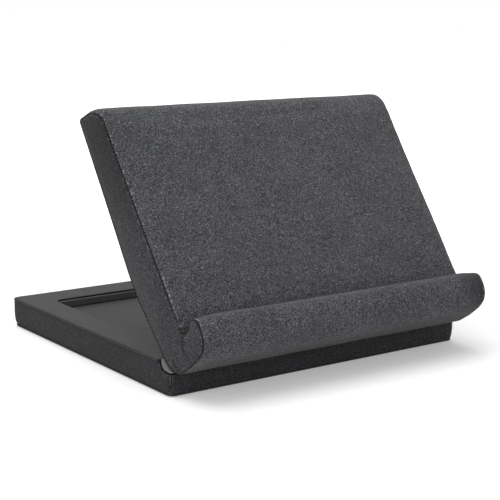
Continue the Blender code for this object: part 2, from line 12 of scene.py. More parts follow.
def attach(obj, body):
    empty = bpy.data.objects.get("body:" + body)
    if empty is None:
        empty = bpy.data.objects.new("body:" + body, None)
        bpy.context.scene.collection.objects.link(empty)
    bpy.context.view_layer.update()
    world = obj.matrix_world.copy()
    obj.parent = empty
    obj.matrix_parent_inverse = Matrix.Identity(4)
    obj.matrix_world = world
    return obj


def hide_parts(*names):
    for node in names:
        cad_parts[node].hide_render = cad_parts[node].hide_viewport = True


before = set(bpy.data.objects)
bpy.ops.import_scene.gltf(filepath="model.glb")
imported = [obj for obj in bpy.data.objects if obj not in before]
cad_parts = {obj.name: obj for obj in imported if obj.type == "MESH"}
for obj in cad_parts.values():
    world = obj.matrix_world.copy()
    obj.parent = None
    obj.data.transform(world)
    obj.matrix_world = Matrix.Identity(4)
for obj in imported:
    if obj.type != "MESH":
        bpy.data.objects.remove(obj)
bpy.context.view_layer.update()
scene = bpy.context.scene
mm = 0.001


# Small helpers for outlines in a plane

# Each corner with the directions of the two sides that meet there, the turn between them and its radius
def cornerTurns(corners):
    places = [Vector(corner[:2]) for corner in corners]
    turns = []
    for i, place in enumerate(places):
        before = (place - places[i - 1]).normalized()
        after = (places[(i + 1) % len(places)] - place).normalized()
        turn = math.atan2(before.cross(after), before.dot(after))
        turns.append((place, before, after, turn, corners[i][2]))
    return turns


# The corners moved inward by inset, with radii that fit
def insetCorners(corners, inset):
    result = []
    for place, before, after, turn, radius in cornerTurns(corners):
        inward = Vector((-before.y - after.y, before.x + after.x))
        moved = place + inward * (inset / (1 + before.dot(after)))
        result.append((moved.x, moved.y, max(radius - math.copysign(inset, turn), 0.4)))
    return result


# Where each corner's arc starts and ends, with its centre and turn.
def arcEnds(corners):
    arcs = []
    for place, before, after, turn, radius in cornerTurns(corners):
        reach = radius * math.tan(abs(turn) / 2)
        centre = place - before * reach + Vector((-before.y, before.x)) * math.copysign(radius, turn)
        arcs.append((place - before * reach, place + after * reach, centre, turn))
    return arcs


# How many steps each arc and the straight run after it get.
def outlineSteps(corners, spacing):
    arcs = arcEnds(corners)
    steps = []
    for i, (start, end, centre, turn) in enumerate(arcs):
        arcLength = (start - centre).length * abs(turn)
        straight = (arcs[(i + 1) % len(arcs)][0] - end).length
        steps.append((max(3, math.ceil(arcLength / spacing), math.ceil(abs(turn) / math.radians(20))),
                      max(1, round(straight / spacing))))
    return steps


def outlinePoints(corners, steps):
    arcs = arcEnds(corners)
    points = []
    for i, (start, end, centre, turn) in enumerate(arcs):
        arcSteps, straightSteps = steps[i]
        spoke = start - centre
        for k in range(arcSteps + 1):
            points.append(centre + Matrix.Rotation(turn * k / arcSteps, 2) @ spoke)
        nextStart = arcs[(i + 1) % len(arcs)][0]
        points += [end.lerp(nextStart, k / straightSteps) for k in range(1, straightSteps)]
    return points


def insideOutline(point, outline):
    inside = False
    for i, b in enumerate(outline):
        a = outline[i - 1]
        if (a.y > point.y) != (b.y > point.y):
            if point.x < (b.x - a.x) * (point.y - a.y) / (b.y - a.y) + a.x:
                inside = not inside
    return inside


def treeOf(points):
    tree = KDTree(len(points))
    for i, point in enumerate(points):
        tree.insert(Vector((*point, 0)) if len(point) == 2 else point, i)
    tree.balance()
    return tree


# Triangles that fill rings of points, from the outer one in, around holes. Returns points and faces.
def fillOutline(rings, holes, spacing, margin):
    points = [p for ring in rings + holes for p in ring]
    edges = []
    start = 0
    for ring in rings + holes:
        edges += [(start + i, start + (i + 1) % len(ring)) for i in range(len(ring))]
        start += len(ring)
    tree = treeOf(points)
    last = rings[-1]
    xs = [p.x for p in last]
    ys = [p.y for p in last]
    row = 0
    y = min(ys)
    while y < max(ys):
        x = min(xs) + (spacing / 2 if row % 2 else 0)
        while x < max(xs):
            place = Vector((x, y))
            if tree.find(Vector((x, y, 0)))[2] > margin and insideOutline(place, last):
                if not any(insideOutline(place, hole) for hole in holes):
                    points.append(place)
            x += spacing
        y += spacing * 0.87
        row += 1
    filled = delaunay_2d_cdt(points, edges, [], 1, 1e-5)
    flat = filled[0]
    faces = []
    for face in filled[2]:
        middle = sum((flat[i] for i in face), Vector((0, 0))) / 3
        if not any(insideOutline(middle, hole) for hole in holes):
            faces.append(tuple(face))
    return flat, faces


# Helpers for meshes

def addObject(name, data):
    obj = bpy.data.objects.new(name, data)
    scene.collection.objects.link(obj)
    return obj


# Mesh object from points in millimetres. slots is one material slot number a face.
def makeObject(name, points, faces, slots=None):
    mesh = bpy.data.meshes.new(name)
    mesh.from_pydata([Vector(p) * mm for p in points], [], faces)
    obj = addObject(name, mesh)
    if slots:
        mesh.polygons.foreach_set("material_index", slots)
    fixNormals(obj)
    return obj


def fixNormals(obj):
    bm = bmesh.new()
    bm.from_mesh(obj.data)
    bmesh.ops.remove_doubles(bm, verts=bm.verts, dist=1e-6)
    bmesh.ops.recalc_face_normals(bm, faces=bm.faces)
    if bm.calc_volume(signed=True) < 0:
        bmesh.ops.reverse_faces(bm, faces=bm.faces)
    bm.to_mesh(obj.data)
    bm.free()
    obj.data.shade_smooth()


# Turn what the modifiers give into the object's own mesh.
def applyModifiers(obj):
    depsgraph = bpy.context.evaluated_depsgraph_get()
    mesh = bpy.data.meshes.new_from_object(obj.evaluated_get(depsgraph), preserve_all_data_layers=True,
                                           depsgraph=depsgraph)
    mesh.name = obj.name
    obj.modifiers.clear()
    old = obj.data
    obj.data = mesh
    bpy.data.meshes.remove(old)


def subdivide(obj):
    modifier = obj.modifiers.new("Subdivision", "SUBSURF")
    modifier.levels = modifier.render_levels = 1
    modifier.boundary_smooth = "PRESERVE_CORNERS"
    applyModifiers(obj)


# Cut closed shapes out of an object and remove them
def cutOut(obj, cutters):
    for cutter in cutters:
        modifier = obj.modifiers.new("Cut", "BOOLEAN")
        modifier.operation = "DIFFERENCE"
        modifier.solver = "EXACT"
        modifier.object = cutter
    applyModifiers(obj)
    for cutter in cutters:
        bpy.data.objects.remove(cutter, do_unlink=True)


# Blow a stuffed piece up with a short cloth simulation. held(point) is 1 where the cloth is sewn down,
# and cap(point) is how far a point may move, in millimetres.
def puff(obj, held, cap, settings):
    rest = [v.co.copy() for v in obj.data.vertices]
    normals = [n.vector.copy() for n in obj.data.vertex_normals]
    group = obj.vertex_groups.new(name="sewn")
    for v in obj.data.vertices:
        group.add([v.index], held(v.co / mm), "REPLACE")
    modifier = obj.modifiers.new("Cloth", "CLOTH")
    cloth = modifier.settings
    cloth.quality = settings["quality"]
    cloth.mass = settings["mass"]
    cloth.tension_stiffness = settings["stiffness"]
    cloth.compression_stiffness = settings["stiffness"]
    cloth.shear_stiffness = settings["stiffness"]
    cloth.bending_stiffness = settings["bending"]
    cloth.shrink_min = settings["shrink"]
    cloth.use_pressure = True
    cloth.uniform_pressure_force = settings["pressure"]
    cloth.effector_weights.gravity = 0
    cloth.vertex_group_mass = "sewn"
    modifier.point_cache.frame_start = 1
    modifier.point_cache.frame_end = settings["frames"]
    for number in range(1, settings["frames"] + 1):
        scene.frame_set(number)
    applyModifiers(obj)
    scene.frame_set(1)
    obj.vertex_groups.clear()
    largest = 0
    deepest = settings["inward"]
    for v, start, normal in zip(obj.data.vertices, rest, normals):
        move = (v.co - start) / mm
        inward = min(move.dot(normal), 0)
        move -= normal * (inward - deepest * math.tanh(inward / deepest))
        limit = cap(start / mm)
        if move.length > 1e-6 and limit > 0:
            move = move.normalized() * limit * math.tanh(move.length / limit)
        else:
            move = Vector((0, 0, 0))
        v.co = start + move * mm
        largest = max(largest, move.length)
    print(f"{obj.name}: puffed by up to {largest:.2f} mm")


# Move every point along its normal by shift(point, normal), in millimetres.
def dentAndRuffle(obj, shift):
    normals = [n.vector.copy() for n in obj.data.vertex_normals]
    for v, normal in zip(obj.data.vertices, normals):
        v.co += normal * shift(v.co / mm, normal) * mm
    obj.data.update()


# Keep value(point) as an attribute that the material reads.
def storeValue(obj, name, value):
    layer = obj.data.attributes.new(name, "FLOAT", "POINT")
    layer.data.foreach_set("value", [value(v.co / mm) for v in obj.data.vertices])


# Smooth noise from -1 to 1 whose lumps are about one size, in millimetres
def unevenness(point, size, seed):
    return noise.noise(point / size + Vector((seed * 7.3, seed * 3.1, seed * 1.7)))


# Lumps of each surface: height and size in millimetres, and seed
lumpForm = {
    "panel": [(0.28, 34, 1), (0.10, 11, 2)],
    "sideBand": [(0.16, 30, 4), (0.07, 9, 5)],
    "topCover": [(0.10, 45, 7), (0.04, 13, 8)],
    "trayFloor": [(0.15, 40, 9), (0.05, 12, 10)],
    "trayWall": [(0.1, 18, 11)],
    "seatStrip": [(0.05, 5, 12)],
}


def lumps(point, surface):
    return sum(height * unevenness(point, size, seed) for height, size, seed in lumpForm[surface])


# Points of a closed line with a point at least every step
def denser(points, step):
    result = []
    for a, b in zip(points, points[1:] + points[:1]):
        count = max(1, math.ceil((b - a).length / step))
        result += [a.lerp(b, k / count) for k in range(count)]
    return result


def fade(distance, width):
    return math.exp(-(distance / width) ** 2)


# 0 below low, 1 above high, and smooth between them
def ramp(value, low, high):
    t = max(0, min(1, (value - low) / (high - low)))
    return t * t * (3 - 2 * t)


print("Panel skin")

# Section of the panel as corners (forward of the hinge axis, up the panel, corner radius)
panelForm = {
    "corners": [(-2.8, -35.8, 18.0), (51.2, -35.8, 17.0), (51.2, -5.7, 8.0), (40.3, -5.7, 6.5),
                (35.081, -11.1, 5.0), (26.081, -12.525, 2.5)],
    "back": 18.0, "heelRise": 35.0, "heelRiseRadius": 150.0, "backTopRadius": 3.2,
    "front": 25.6, "taper": 2.2, "top": 178.5, "topSlope": 14.0, "topBulge": 2.7, "topBulgeRadius": 50.0,
    "frontTopRadius": 15.0, "width": 265.0, "flare": 2.4, "topCorner": 7.5,
    "lipMiddle": (38.0, -19.0), "lipNarrow": 0.10, "lipReach": 20.0,
    "lipForward": (22, 38), "lipDown": (-10, 4),
    "angle": 57.5, "axisY": -109.1, "axisZ": 43.3,
    "spacing": 4.2, "start": 0.3,
}

# The ends: the cover folds over to a sunk seam, which lies further in along the front face than round
# the lip. The gusset swells inside it. Its rings are (distance in from the end, distance from the seam).
panelEnd = {"fold": [0, 45, 80], "edge": 0.1, "seamDepth": 0.9, "middle": -0.4,
            "lipInset": 1.0, "backInset": 1.1, "frontInset": 1.5, "topInset": 3.8,
            "frontForward": (2, 20), "frontUp": (-9, 12), "backUp": (-15, 25), "topUp": (20, 140),
            "gusset": [(0.1, 1.0), (-0.2, 2.6)], "gussetSpacing": 2.7, "gussetMargin": 2.6,
            "flatEnd": 9, "leadIn": 0.45, "leadReach": 8,
            "crease": 0.85, "creaseReach": 0.3, "gussetFrom": 0.7, "gussetClear": 1.5}

panelCloth = {"mass": 0.3, "pressure": 4.0, "stiffness": 12.0, "bending": 0.6, "shrink": 0.0, "quality": 6,
              "frames": 20, "inward": 0.35, "sewnReach": 0.8, "valleyReach": 2.2,
              "frontCap": 1.9, "backCap": 0.3, "gussetCap": 2.0, "heelCap": 0.25}

panelTilt = math.radians(panelForm["angle"])


# How much wider the panel is at a height than at its hinge
def flareAt(up):
    return 1 + 2 * panelForm["flare"] / panelForm["width"] * up / panelForm["top"]


# A point of the panel. The lip narrows a little towards its ends.
def panelPoint(x, forward, up):
    middle = panelForm["lipMiddle"]
    half = panelForm["width"] / 2
    narrow = panelForm["lipNarrow"] * ramp(abs(x), half - panelForm["lipReach"], half)
    narrow *= ramp(forward, *panelForm["lipForward"]) * ramp(-up, *panelForm["lipDown"])
    forward += (middle[0] - forward) * narrow
    up += (middle[1] - up) * narrow
    return Vector((x * flareAt(up),
                   panelForm["axisY"] + up * math.cos(panelTilt) - forward * math.sin(panelTilt),
                   panelForm["axisZ"] + up * math.sin(panelTilt) + forward * math.cos(panelTilt)))


# The reverse of panelPoint, without the lip's narrowing: (x, forward, up) of a point
def panelPlace(point):
    y = point.y - panelForm["axisY"]
    z = point.z - panelForm["axisZ"]
    up = y * math.cos(panelTilt) + z * math.sin(panelTilt)
    forward = z * math.cos(panelTilt) - y * math.sin(panelTilt)
    return point.x / flareAt(up), forward, up


# Corners of the section, with the top's front corner lowered by drop
def panelCorners(drop=0):
    taper = math.tan(math.radians(panelForm["taper"]))
    slope = math.tan(math.radians(panelForm["topSlope"]))
    top = panelForm["top"]
    reach = (panelForm["front"] + panelForm["back"] - top * taper) / (1 - slope * taper)
    high = top - reach * slope - drop
    back = Vector((-panelForm["back"], top))
    front = Vector((panelForm["front"] - high * taper, high))
    along = (front - back).normalized()
    bulge = (back + front) / 2 + Vector((-along.y, along.x)) * panelForm["topBulge"]
    return [(*back, panelForm["backTopRadius"]),
            (back.x, panelForm["heelRise"], panelForm["heelRiseRadius"]),
            *panelForm["corners"],
            (*front, panelForm["frontTopRadius"]),
            (*bulge, panelForm["topBulgeRadius"])]


panelSteps = outlineSteps(panelCorners(), panelForm["spacing"])
panelHalf = panelForm["width"] / 2


# How far the top's front corner falls where the end rounds off
def topDrop(x):
    radius = panelForm["topCorner"]
    beyond = max(x - panelHalf + radius, 0)
    return radius - math.sqrt(max(radius ** 2 - beyond ** 2, 0))


def panelRing(x, inset):
    return outlinePoints(insetCorners(panelCorners(topDrop(x)), inset), panelSteps)


# How far in from the outline the end's seam lies at a place of the section
def seamInset(place):
    front = ramp(place.x, *panelEnd["frontForward"]) * ramp(place.y, *panelEnd["frontUp"])
    back = ramp(place.y, *panelEnd["backUp"]) * (1 - front)
    low = panelEnd["lipInset"]
    high = panelEnd["frontInset"]
    high += (panelEnd["topInset"] - high) * ramp(place.y, *panelEnd["topUp"])
    return low + (high - low) * front + (panelEnd["backInset"] - low) * back


# One ring near the end. From how far in the seam is at a point, inset gives how far in the point lies
# and away how far it is from the end.
def endRing(inset, away):
    x = panelHalf - away(panelEnd["topInset"])
    start = panelForm["start"]
    step = 4
    ring = []
    for outer, inner in zip(panelRing(x, start), panelRing(x, start + step)):
        wide = seamInset(outer)
        place = outer + (inner - outer) * (inset(wide) - start) / step
        ring.append((panelHalf - away(wide), place.x, place.y))
    return ring


# Ring of the fold: level with the face at 0 degrees and with the seam at 90
def foldRing(degrees, extra=0):
    angle = math.radians(degrees)
    start = panelForm["start"]
    return endRing(lambda wide: start + (wide - start) * (1 - math.cos(angle)),
                   lambda wide: panelEnd["edge"] + wide * (1 - math.sin(angle))
                   + extra * (panelEnd["leadReach"] - wide))


def mirrored(ring):
    return [(-x, forward, up) for x, forward, up in ring]


# Closed skin of the panel with its two gussets as slots 1 and 2
def buildPanelSkin():
    last = panelHalf - panelEnd["flatEnd"]
    count = round(last / panelForm["spacing"])
    section = panelRing(0, panelForm["start"])
    right = [[(last * k / count, p.x, p.y) for p in section] for k in range(count + 1)]
    right.append(foldRing(0, panelEnd["leadIn"]))
    right += [foldRing(degrees) for degrees in panelEnd["fold"]]
    right.append(endRing(lambda wide: wide, lambda wide: panelEnd["seamDepth"]))
    rings = [mirrored(ring) for ring in right[:0:-1]] + right
    size = len(right[0])
    places = [place for ring in rings for place in ring]
    faces = []
    for r in range(len(rings) - 1):
        for i in range(size):
            j = (i + 1) % size
            faces.append((r * size + i, r * size + j, (r + 1) * size + j, (r + 1) * size + i))
    slots = [0] * len(faces)
    flatRings = [[Vector(place[1:]) for place in right[-1]]]
    for away, beyond in panelEnd["gusset"]:
        ring = endRing(lambda wide: wide + beyond, lambda wide: panelEnd["seamDepth"])
        flatRings.append([Vector(place[1:]) for place in ring])
    flat, triangles = fillOutline(flatRings, [], panelEnd["gussetSpacing"], panelEnd["gussetMargin"])
    depths = [away for away, beyond in panelEnd["gusset"]] + [panelEnd["middle"]]
    for direction, ringStart, slotNumber in ((-1, 0, 1), (1, (len(rings) - 1) * size, 2)):
        added = len(places)
        for k, p in enumerate(flat[size:]):
            places.append((direction * (panelHalf - depths[min(k // size, len(depths) - 1)]), p.x, p.y))
        index = lambda k: ringStart + k if k < size else added + k - size
        faces += [tuple(index(k) for k in triangle) for triangle in triangles]
        slots += [slotNumber] * len(triangles)
    return makeObject("panelSkin", [panelPoint(*place) for place in places], faces, slots)


panelSkin = buildPanelSkin()
seamHalf = panelHalf - panelEnd["seamDepth"]
panelSeam = endRing(lambda wide: wide, lambda wide: panelEnd["seamDepth"])
seamLine = {1: [panelPoint(*place) for place in panelSeam],
            -1: [panelPoint(*place) for place in mirrored(panelSeam)]}
seamTree = treeOf(denser(seamLine[-1], 0.4) + denser(seamLine[1], 0.4))

# Middle of the valley between the panel and its lip, as (forward, up)
valleyPlace = (26.881, -11.525)

# The parts that keep clear of the base: the heel under two heights and behind heelFront, and the back and
# the belly by their (forward, up)
clearForm = {"swellHeight": 27, "dentHeight": 26.5, "heelFront": -129, "back": -12, "belly": (20, -20)}


def valleyDistance(point):
    x, forward, up = panelPlace(point)
    return math.hypot(forward - valleyPlace[0], up - valleyPlace[1])


def nearHeel(point, height):
    return point.z < height and point.y > clearForm["heelFront"]


def sewnPanel(point):
    sewn = seamTree.find(point)[2] < panelCloth["sewnReach"]
    return 1.0 if sewn or valleyDistance(point) < panelCloth["valleyReach"] else 0.0


# The front and the lip swell most. The back and the heel keep clear of the base.
def panelCap(point):
    x, forward, up = panelPlace(point)
    if nearHeel(point, clearForm["swellHeight"]):
        return panelCloth["heelCap"]
    if abs(x) > panelHalf - panelEnd["gussetFrom"] and seamTree.find(point)[2] > panelEnd["gussetClear"]:
        return panelCloth["gussetCap"]
    if forward < clearForm["back"] or (forward < clearForm["belly"][0] and up < clearForm["belly"][1]):
        return panelCloth["backCap"]
    return panelCloth["frontCap"]


puff(panelSkin, sewnPanel, panelCap, panelCloth)
bm = bmesh.new()
bm.from_mesh(panelSkin.data)
crease = bm.edges.layers.float.new("crease_edge")
for edge in bm.edges:
    if all(seamTree.find(v.co / mm)[2] < panelEnd["creaseReach"] for v in edge.verts):
        edge[crease] = panelEnd["crease"]
bm.to_mesh(panelSkin.data)
bm.free()
subdivide(panelSkin)


# Creases and dents on the gussets, as lines in (forward, up) with depth and width
gussetCreases = [
    {"line": [(26.1, -12.6), (24.9, -15.4), (23.3, -20.1), (22.4, -25.1)], "depth": 1.9, "width": 1.15},
    {"line": [(5.6, -23.7), (6.8, -28.0), (8.0, -32.3)], "depth": 1.1, "width": 0.9},
    {"line": [(30.5, -14.5), (34.5, -19.5), (35.5, -26.0)], "depth": 0.35, "width": 1.8},
    {"line": [(21.5, -14.0), (16.0, -21.5)], "depth": 0.4, "width": 1.4},
    {"line": [(14.0, -20.0), (12.5, -28.0)], "depth": 0.3, "width": 1.6},
    {"line": [(30.0, -27.0), (33.5, -32.5)], "depth": 0.45, "width": 1.1},
    {"line": [(39.0, -24.0), (44.5, -27.5)], "depth": 0.4, "width": 1.1},
    {"line": [(18.5, -6.0), (11.0, 3.0)], "depth": 0.25, "width": 2.5},
]
creaseForm = {"left": 1.0, "right": 0.75, "reach": 4, "ridge": 0.3, "ridgeAway": 2.2}
seamRipple = {"depth": 0.24, "length": 4.5, "reach": 3.5, "seed": 3}
valleyDent = {"depth": 2.1, "width": 2.4, "fromSeam": 4, "reach": 8}

# Where the cover gathers above the valley, at both ends: a short fold across the front face
valleyFold = {"up": -1.5, "depth": 0.9, "width": 1.3, "reach": 9.0, "forwardFrom": 18, "upFrom": -10,
              "ridge": 0.6, "ridgeDown": 3.4, "ridgeWidth": 2.0}
panelSettle = {"all": 0.1, "back": 0.1, "soften": 3}  # how far the cloth lies in after puffing


def lineDistance(place, line):
    nearest = 1e9
    for start, end in zip(line, line[1:]):
        a, b = Vector(start), Vector(end)
        along = max(0, min(1, (place - a).dot(b - a) / (b - a).length_squared))
        nearest = min(nearest, (place - a.lerp(b, along)).length)
    return nearest


def panelShift(point, normal):
    x, forward, up = panelPlace(point)
    seamDistance = seamTree.find(point)[2]
    shift = lumps(point, "panel") * min(seamDistance / panelSettle["soften"], 1) - panelSettle["all"]
    ripple = seamRipple["depth"] * unevenness(point, seamRipple["length"], seamRipple["seed"])
    shift += ripple * math.exp(-seamDistance / seamRipple["reach"]) * min(seamDistance, 1)
    onGusset = abs(normal.x) > 0.6
    if onGusset and abs(x) > seamHalf - 1:
        for item in gussetCreases:
            width = item["width"]
            depth = item["depth"] * creaseForm["left" if x < 0 else "right"]
            away = lineDistance(Vector((forward, up)), item["line"])
            if away < creaseForm["reach"] * width:
                shift -= depth * fade(away, width)
                shift += depth * creaseForm["ridge"] * fade(away - creaseForm["ridgeAway"] * width, width)
    valley = valleyDistance(point)
    fromSeam = max(0, seamHalf - abs(x))
    if fromSeam < valleyDent["fromSeam"] and valley < valleyDent["reach"]:
        shift -= valleyDent["depth"] * fade(valley, valleyDent["width"])
    onFront = forward > valleyFold["forwardFrom"] and up > valleyFold["upFrom"] and not onGusset
    if onFront and fromSeam < valleyFold["reach"]:
        depth = valleyFold["depth"] * (1 - fromSeam / valleyFold["reach"])
        above = up - valleyFold["up"]
        shift -= depth * fade(above, valleyFold["width"])
        shift += depth * valleyFold["ridge"] * fade(above + valleyFold["ridgeDown"], valleyFold["ridgeWidth"])
    if nearHeel(point, clearForm["dentHeight"]):
        shift = min(shift, 0)
    if forward < clearForm["back"]:
        shift = min(shift, 0) - panelSettle["back"]
    return shift


print("Creases and seams of the panel")
dentAndRuffle(panelSkin, panelShift)


# One closed object for each slot of a mesh. Open edges are drawn inward by each one's depth and capped.
def splitSlots(obj, depths):
    pieces = []
    for number, (name, depth) in enumerate(depths.items()):
        bm = bmesh.new()
        bm.from_mesh(obj.data)
        bmesh.ops.delete(bm, geom=[f for f in bm.faces if f.material_index != number], context="FACES")
        for face in bm.faces:
            face.material_index = 0
        openEdges = [e for e in bm.edges if e.is_boundary]
        moved = bmesh.ops.extrude_edge_only(bm, edges=openEdges)["geom"]
        for v in (g for g in moved if isinstance(g, bmesh.types.BMVert)):
            v.co.x -= math.copysign(depth * mm, v.co.x)
        openEdges = [e for e in bm.edges if e.is_boundary]
        bmesh.ops.holes_fill(bm, edges=openEdges, sides=0)
        caps = [f for f in bm.faces if len(f.verts) > 8]
        bmesh.ops.triangulate(bm, faces=caps)
        mesh = bpy.data.meshes.new(name)
        bm.to_mesh(mesh)
        bm.free()
        piece = addObject(name, mesh)
        fixNormals(piece)
        pieces.append(piece)
    bpy.data.objects.remove(obj, do_unlink=True)
    return pieces


underSeam = {"panelCover": 1.6, "leftGusset": 0.8, "rightGusset": 0.8}
panelCover, leftGusset, rightGusset = splitSlots(panelSkin, underSeam)


# Slits in the cover where the base's hinge leaves reach in
hingeSlit = {"spacing": 170.0, "width": 31.2, "knuckleWidth": 33.6, "thickness": 4.0, "knuckle": 5.6,
             "reach": 69.2, "sweep": 57.5, "steps": 10}
hingeMiddles = (-hingeSlit["spacing"] / 2, hingeSlit["spacing"] / 2)


# Closed bar along the hinge axis, from its section at x = 0
def crossBar(section, middle, width):
    size = len(section)
    points = [p + Vector((middle + s * width / 2, 0, 0)) for s in (-1, 1) for p in section]
    faces = [tuple(range(size)), tuple(range(2 * size - 1, size - 1, -1))]
    faces += [(i, (i + 1) % size, (i + 1) % size + size, i + size) for i in range(size)]
    return makeObject("cutter", points, faces)


def cutHingeSlits(cover):
    reach = hingeSlit["thickness"] / 2
    radius = hingeSlit["reach"]
    stop = math.radians(180 + hingeSlit["sweep"])
    outline = [(0, reach), (-radius, reach)]
    for k in range(1, hingeSlit["steps"]):
        angle = math.pi + (stop - math.pi) * k / hingeSlit["steps"]
        outline.append((radius * math.cos(angle), radius * math.sin(angle)))
    side = (-math.sin(stop) * reach, math.cos(stop) * reach)
    outline.append((radius * math.cos(stop) + side[0], radius * math.sin(stop) + side[1]))
    outline.append(side)
    angles = [math.radians(15 * k) for k in range(24)]
    barrel = [(hingeSlit["knuckle"] * math.cos(a), hingeSlit["knuckle"] * math.sin(a)) for a in angles]
    cutters = []
    for middle in hingeMiddles:
        for shape, width in ((outline, hingeSlit["width"]), (barrel, hingeSlit["knuckleWidth"])):
            cutters.append(crossBar([panelPoint(0, *p) for p in shape], middle, width))
    cutOut(cover, cutters)


cutHingeSlits(panelCover)

# Painted shade on the cover and the gussets: darker at the lip's right end and on the gussets' upper part
paintedShadeForm = {"lip": 0.7, "lipAlong": (98, 133), "lipForward": (29, 36), "lipDown": (-12, 2),
           "gusset": 0.6, "gussetUp": (40, 150)}


def coverPaintedShade(point):
    x, forward, up = panelPlace(point)
    onLip = ramp(forward, *paintedShadeForm["lipForward"]) * ramp(-up, *paintedShadeForm["lipDown"])
    return paintedShadeForm["lip"] * ramp(x, *paintedShadeForm["lipAlong"]) * onLip


def gussetPaintedShade(point):
    return paintedShadeForm["gusset"] * ramp(panelPlace(point)[2], *paintedShadeForm["gussetUp"])


# How the seam's shade spreads: into the hole where the valley ends, and further on the gusset where the
# fold hides the seam from in front
shadeForm = {"valley": 0.8, "valleyStart": 0.4, "hole": 0.35, "holeStart": 0.1, "holeIn": 0.4, "holeFrom": 1,
             "gusset": 0.05, "hidden": 0.6, "hiddenUp": (-10, 25)}


def coverSeamDistance(point):
    fromSeam = max(0, seamHalf - abs(panelPlace(point)[0]) - shadeForm["holeFrom"])
    valley = valleyDistance(point)
    return min(seamTree.find(point)[2], valley * shadeForm["valley"] + shadeForm["valleyStart"],
               valley * shadeForm["hole"] + shadeForm["holeStart"] + shadeForm["holeIn"] * fromSeam)


def gussetSeamDistance(point):
    wider = shadeForm["gusset"] + shadeForm["hidden"] * ramp(panelPlace(point)[2], *shadeForm["hiddenUp"])
    hole = valleyDistance(point) * shadeForm["hole"] + shadeForm["holeStart"]
    return max(0, min(seamTree.find(point)[2] - wider, hole))


# Seam distances for the painted seam shade, and the dim attribute that carries the painted shade
for piece, seamDistance, dim in ((panelCover, coverSeamDistance, coverPaintedShade),
                                 (leftGusset, gussetSeamDistance, gussetPaintedShade),
                                 (rightGusset, gussetSeamDistance, gussetPaintedShade)):
    storeValue(piece, "seamDistance", seamDistance)
    storeValue(piece, "dim", dim)

print("Base")

baseForm = {"width": 272.0, "depth": 254.0, "middleY": 0, "height": 25.0, "corner": 4.5, "spacing": 3.8,
            "seatBack": -111.3, "edge": 1.6}
footForm = {**baseForm, "corner": 6.5}  # the underside is rounder at its corners
trayForm = {"width": 220.0, "depth": 172.0, "middleY": 7.0, "corner": 5.0, "floor": 17.2, "lip": 1.6}
baseCloth = {"mass": 0.3, "pressure": 4.0, "stiffness": 15.0, "bending": 1.0, "shrink": 0.0, "quality": 5,
             "frames": 16, "inward": 0.3, "sideCap": 0.9, "topCap": 0.4}


# Points of a form's rounded rectangle, moved outward by outset, seen from above, anticlockwise, each
# with its outward direction
def planLoop(form, outset, corner):
    width = form["width"] + 2 * outset
    depth = form["depth"] + 2 * outset
    corners = [(side * width / 2, form["middleY"] + end * depth / 2, corner)
               for side, end in ((-1, -1), (1, -1), (1, 1), (-1, 1))]
    points = outlinePoints(corners, outlineSteps(corners, baseForm["spacing"]))
    loop = []
    for i, point in enumerate(points):
        along = (points[(i + 1) % len(points)] - points[i - 1]).normalized()
        loop.append((point, Vector((along.y, -along.x))))
    return loop


# Closed ring: a closed profile of (outset, height) swept round a loop. place(point, out, outset, height)
# gives each corner, where out is the loop's outward direction.
def sweepLoop(name, loop, profile, place):
    size = len(profile)
    points = [place(point, out, outset, height) for point, out in loop for outset, height in profile]
    faces = []
    for i in range(len(loop)):
        j = (i + 1) % len(loop)
        for k in range(size):
            m = (k + 1) % size
            faces.append((i * size + k, j * size + k, j * size + m, i * size + m))
    return makeObject(name, points, faces)


# Top of the side band as (depth, height): along the strip in the seat, then under the top cover
bandForm = {"bottom": 1.7, "outset": -0.15,
            "top": [(-127.2, 15.9), (-122.0, 16.0), (-118.5, 16.3), (-116.0, 17.0), (-114.2, 18.4),
                    (-113.0, 20.2), (-112.2, 22.2), (-111.4, 23.5)],
            "tuckHigh": 9.0, "tuckReach": 8.0, "tuck": 1.1}
bandBottom = bandForm["bottom"]


# Height of the side band's top at one depth
def bandTop(y):
    table = bandForm["top"]
    for (y0, z0), (y1, z1) in zip(table, table[1:]):
        if y < y1:
            return z0 + (z1 - z0) * max(0, y - y0) / (y1 - y0)
    return table[-1][1]


# Side band with soft edges. Its top follows the seat at the front.
def buildSideBand():
    profile = [(-2.1, 0.0), (-1.5, 0.0), (-0.8, 0.02), (-0.25, 0.07), (0.0, 0.14), (0.0, 0.35), (0.0, 0.6),
               (0.0, 0.82), (-0.1, 0.93), (-0.45, 0.985), (-1.1, 1.0), (-2.1, 1.0)]

    def place(point, out, outset, t):
        spot = point + out * (outset + bandForm["outset"])
        return Vector((*spot, bandBottom + (bandTop(point.y) - bandBottom) * t))

    return sweepLoop("sideBand", planLoop(baseForm, 0, baseForm["corner"]), profile, place)


# How far a point lies inside a form's rounded rectangle in plan. Outside it is negative.
def planInset(p, form):
    x = abs(p.x) - form["width"] / 2 + form["corner"]
    y = abs(p.y - form["middleY"]) - form["depth"] / 2 + form["corner"]
    return form["corner"] - math.hypot(max(x, 0), max(y, 0)) - min(max(x, y), 0)


# Drop of a rounded edge at a distance in from it.
def roundFall(distance, radius):
    distance = max(0, min(distance, radius))
    return radius - math.sqrt(radius ** 2 - (radius - distance) ** 2)


# Flat cloth as a closed form between the heights upper(point) and lower(point)
def heightSheet(name, rings, holes, upper, lower, spacing, margin=2.4):
    flat, triangles = fillOutline(rings, holes, spacing, margin)
    count = len(flat)
    points = [Vector((p.x, p.y, upper(p))) for p in flat] + [Vector((p.x, p.y, lower(p))) for p in flat]
    faces = triangles + [tuple(i + count for i in reversed(t)) for t in triangles]
    uses = {}
    for a, b, c in triangles:
        for edge in ((a, b), (b, c), (c, a)):
            uses[tuple(sorted(edge))] = uses.get(tuple(sorted(edge)), 0) + 1
    faces += [(a, b, b + count, a + count) for (a, b), number in uses.items() if number == 1]
    return makeObject(name, points, faces)


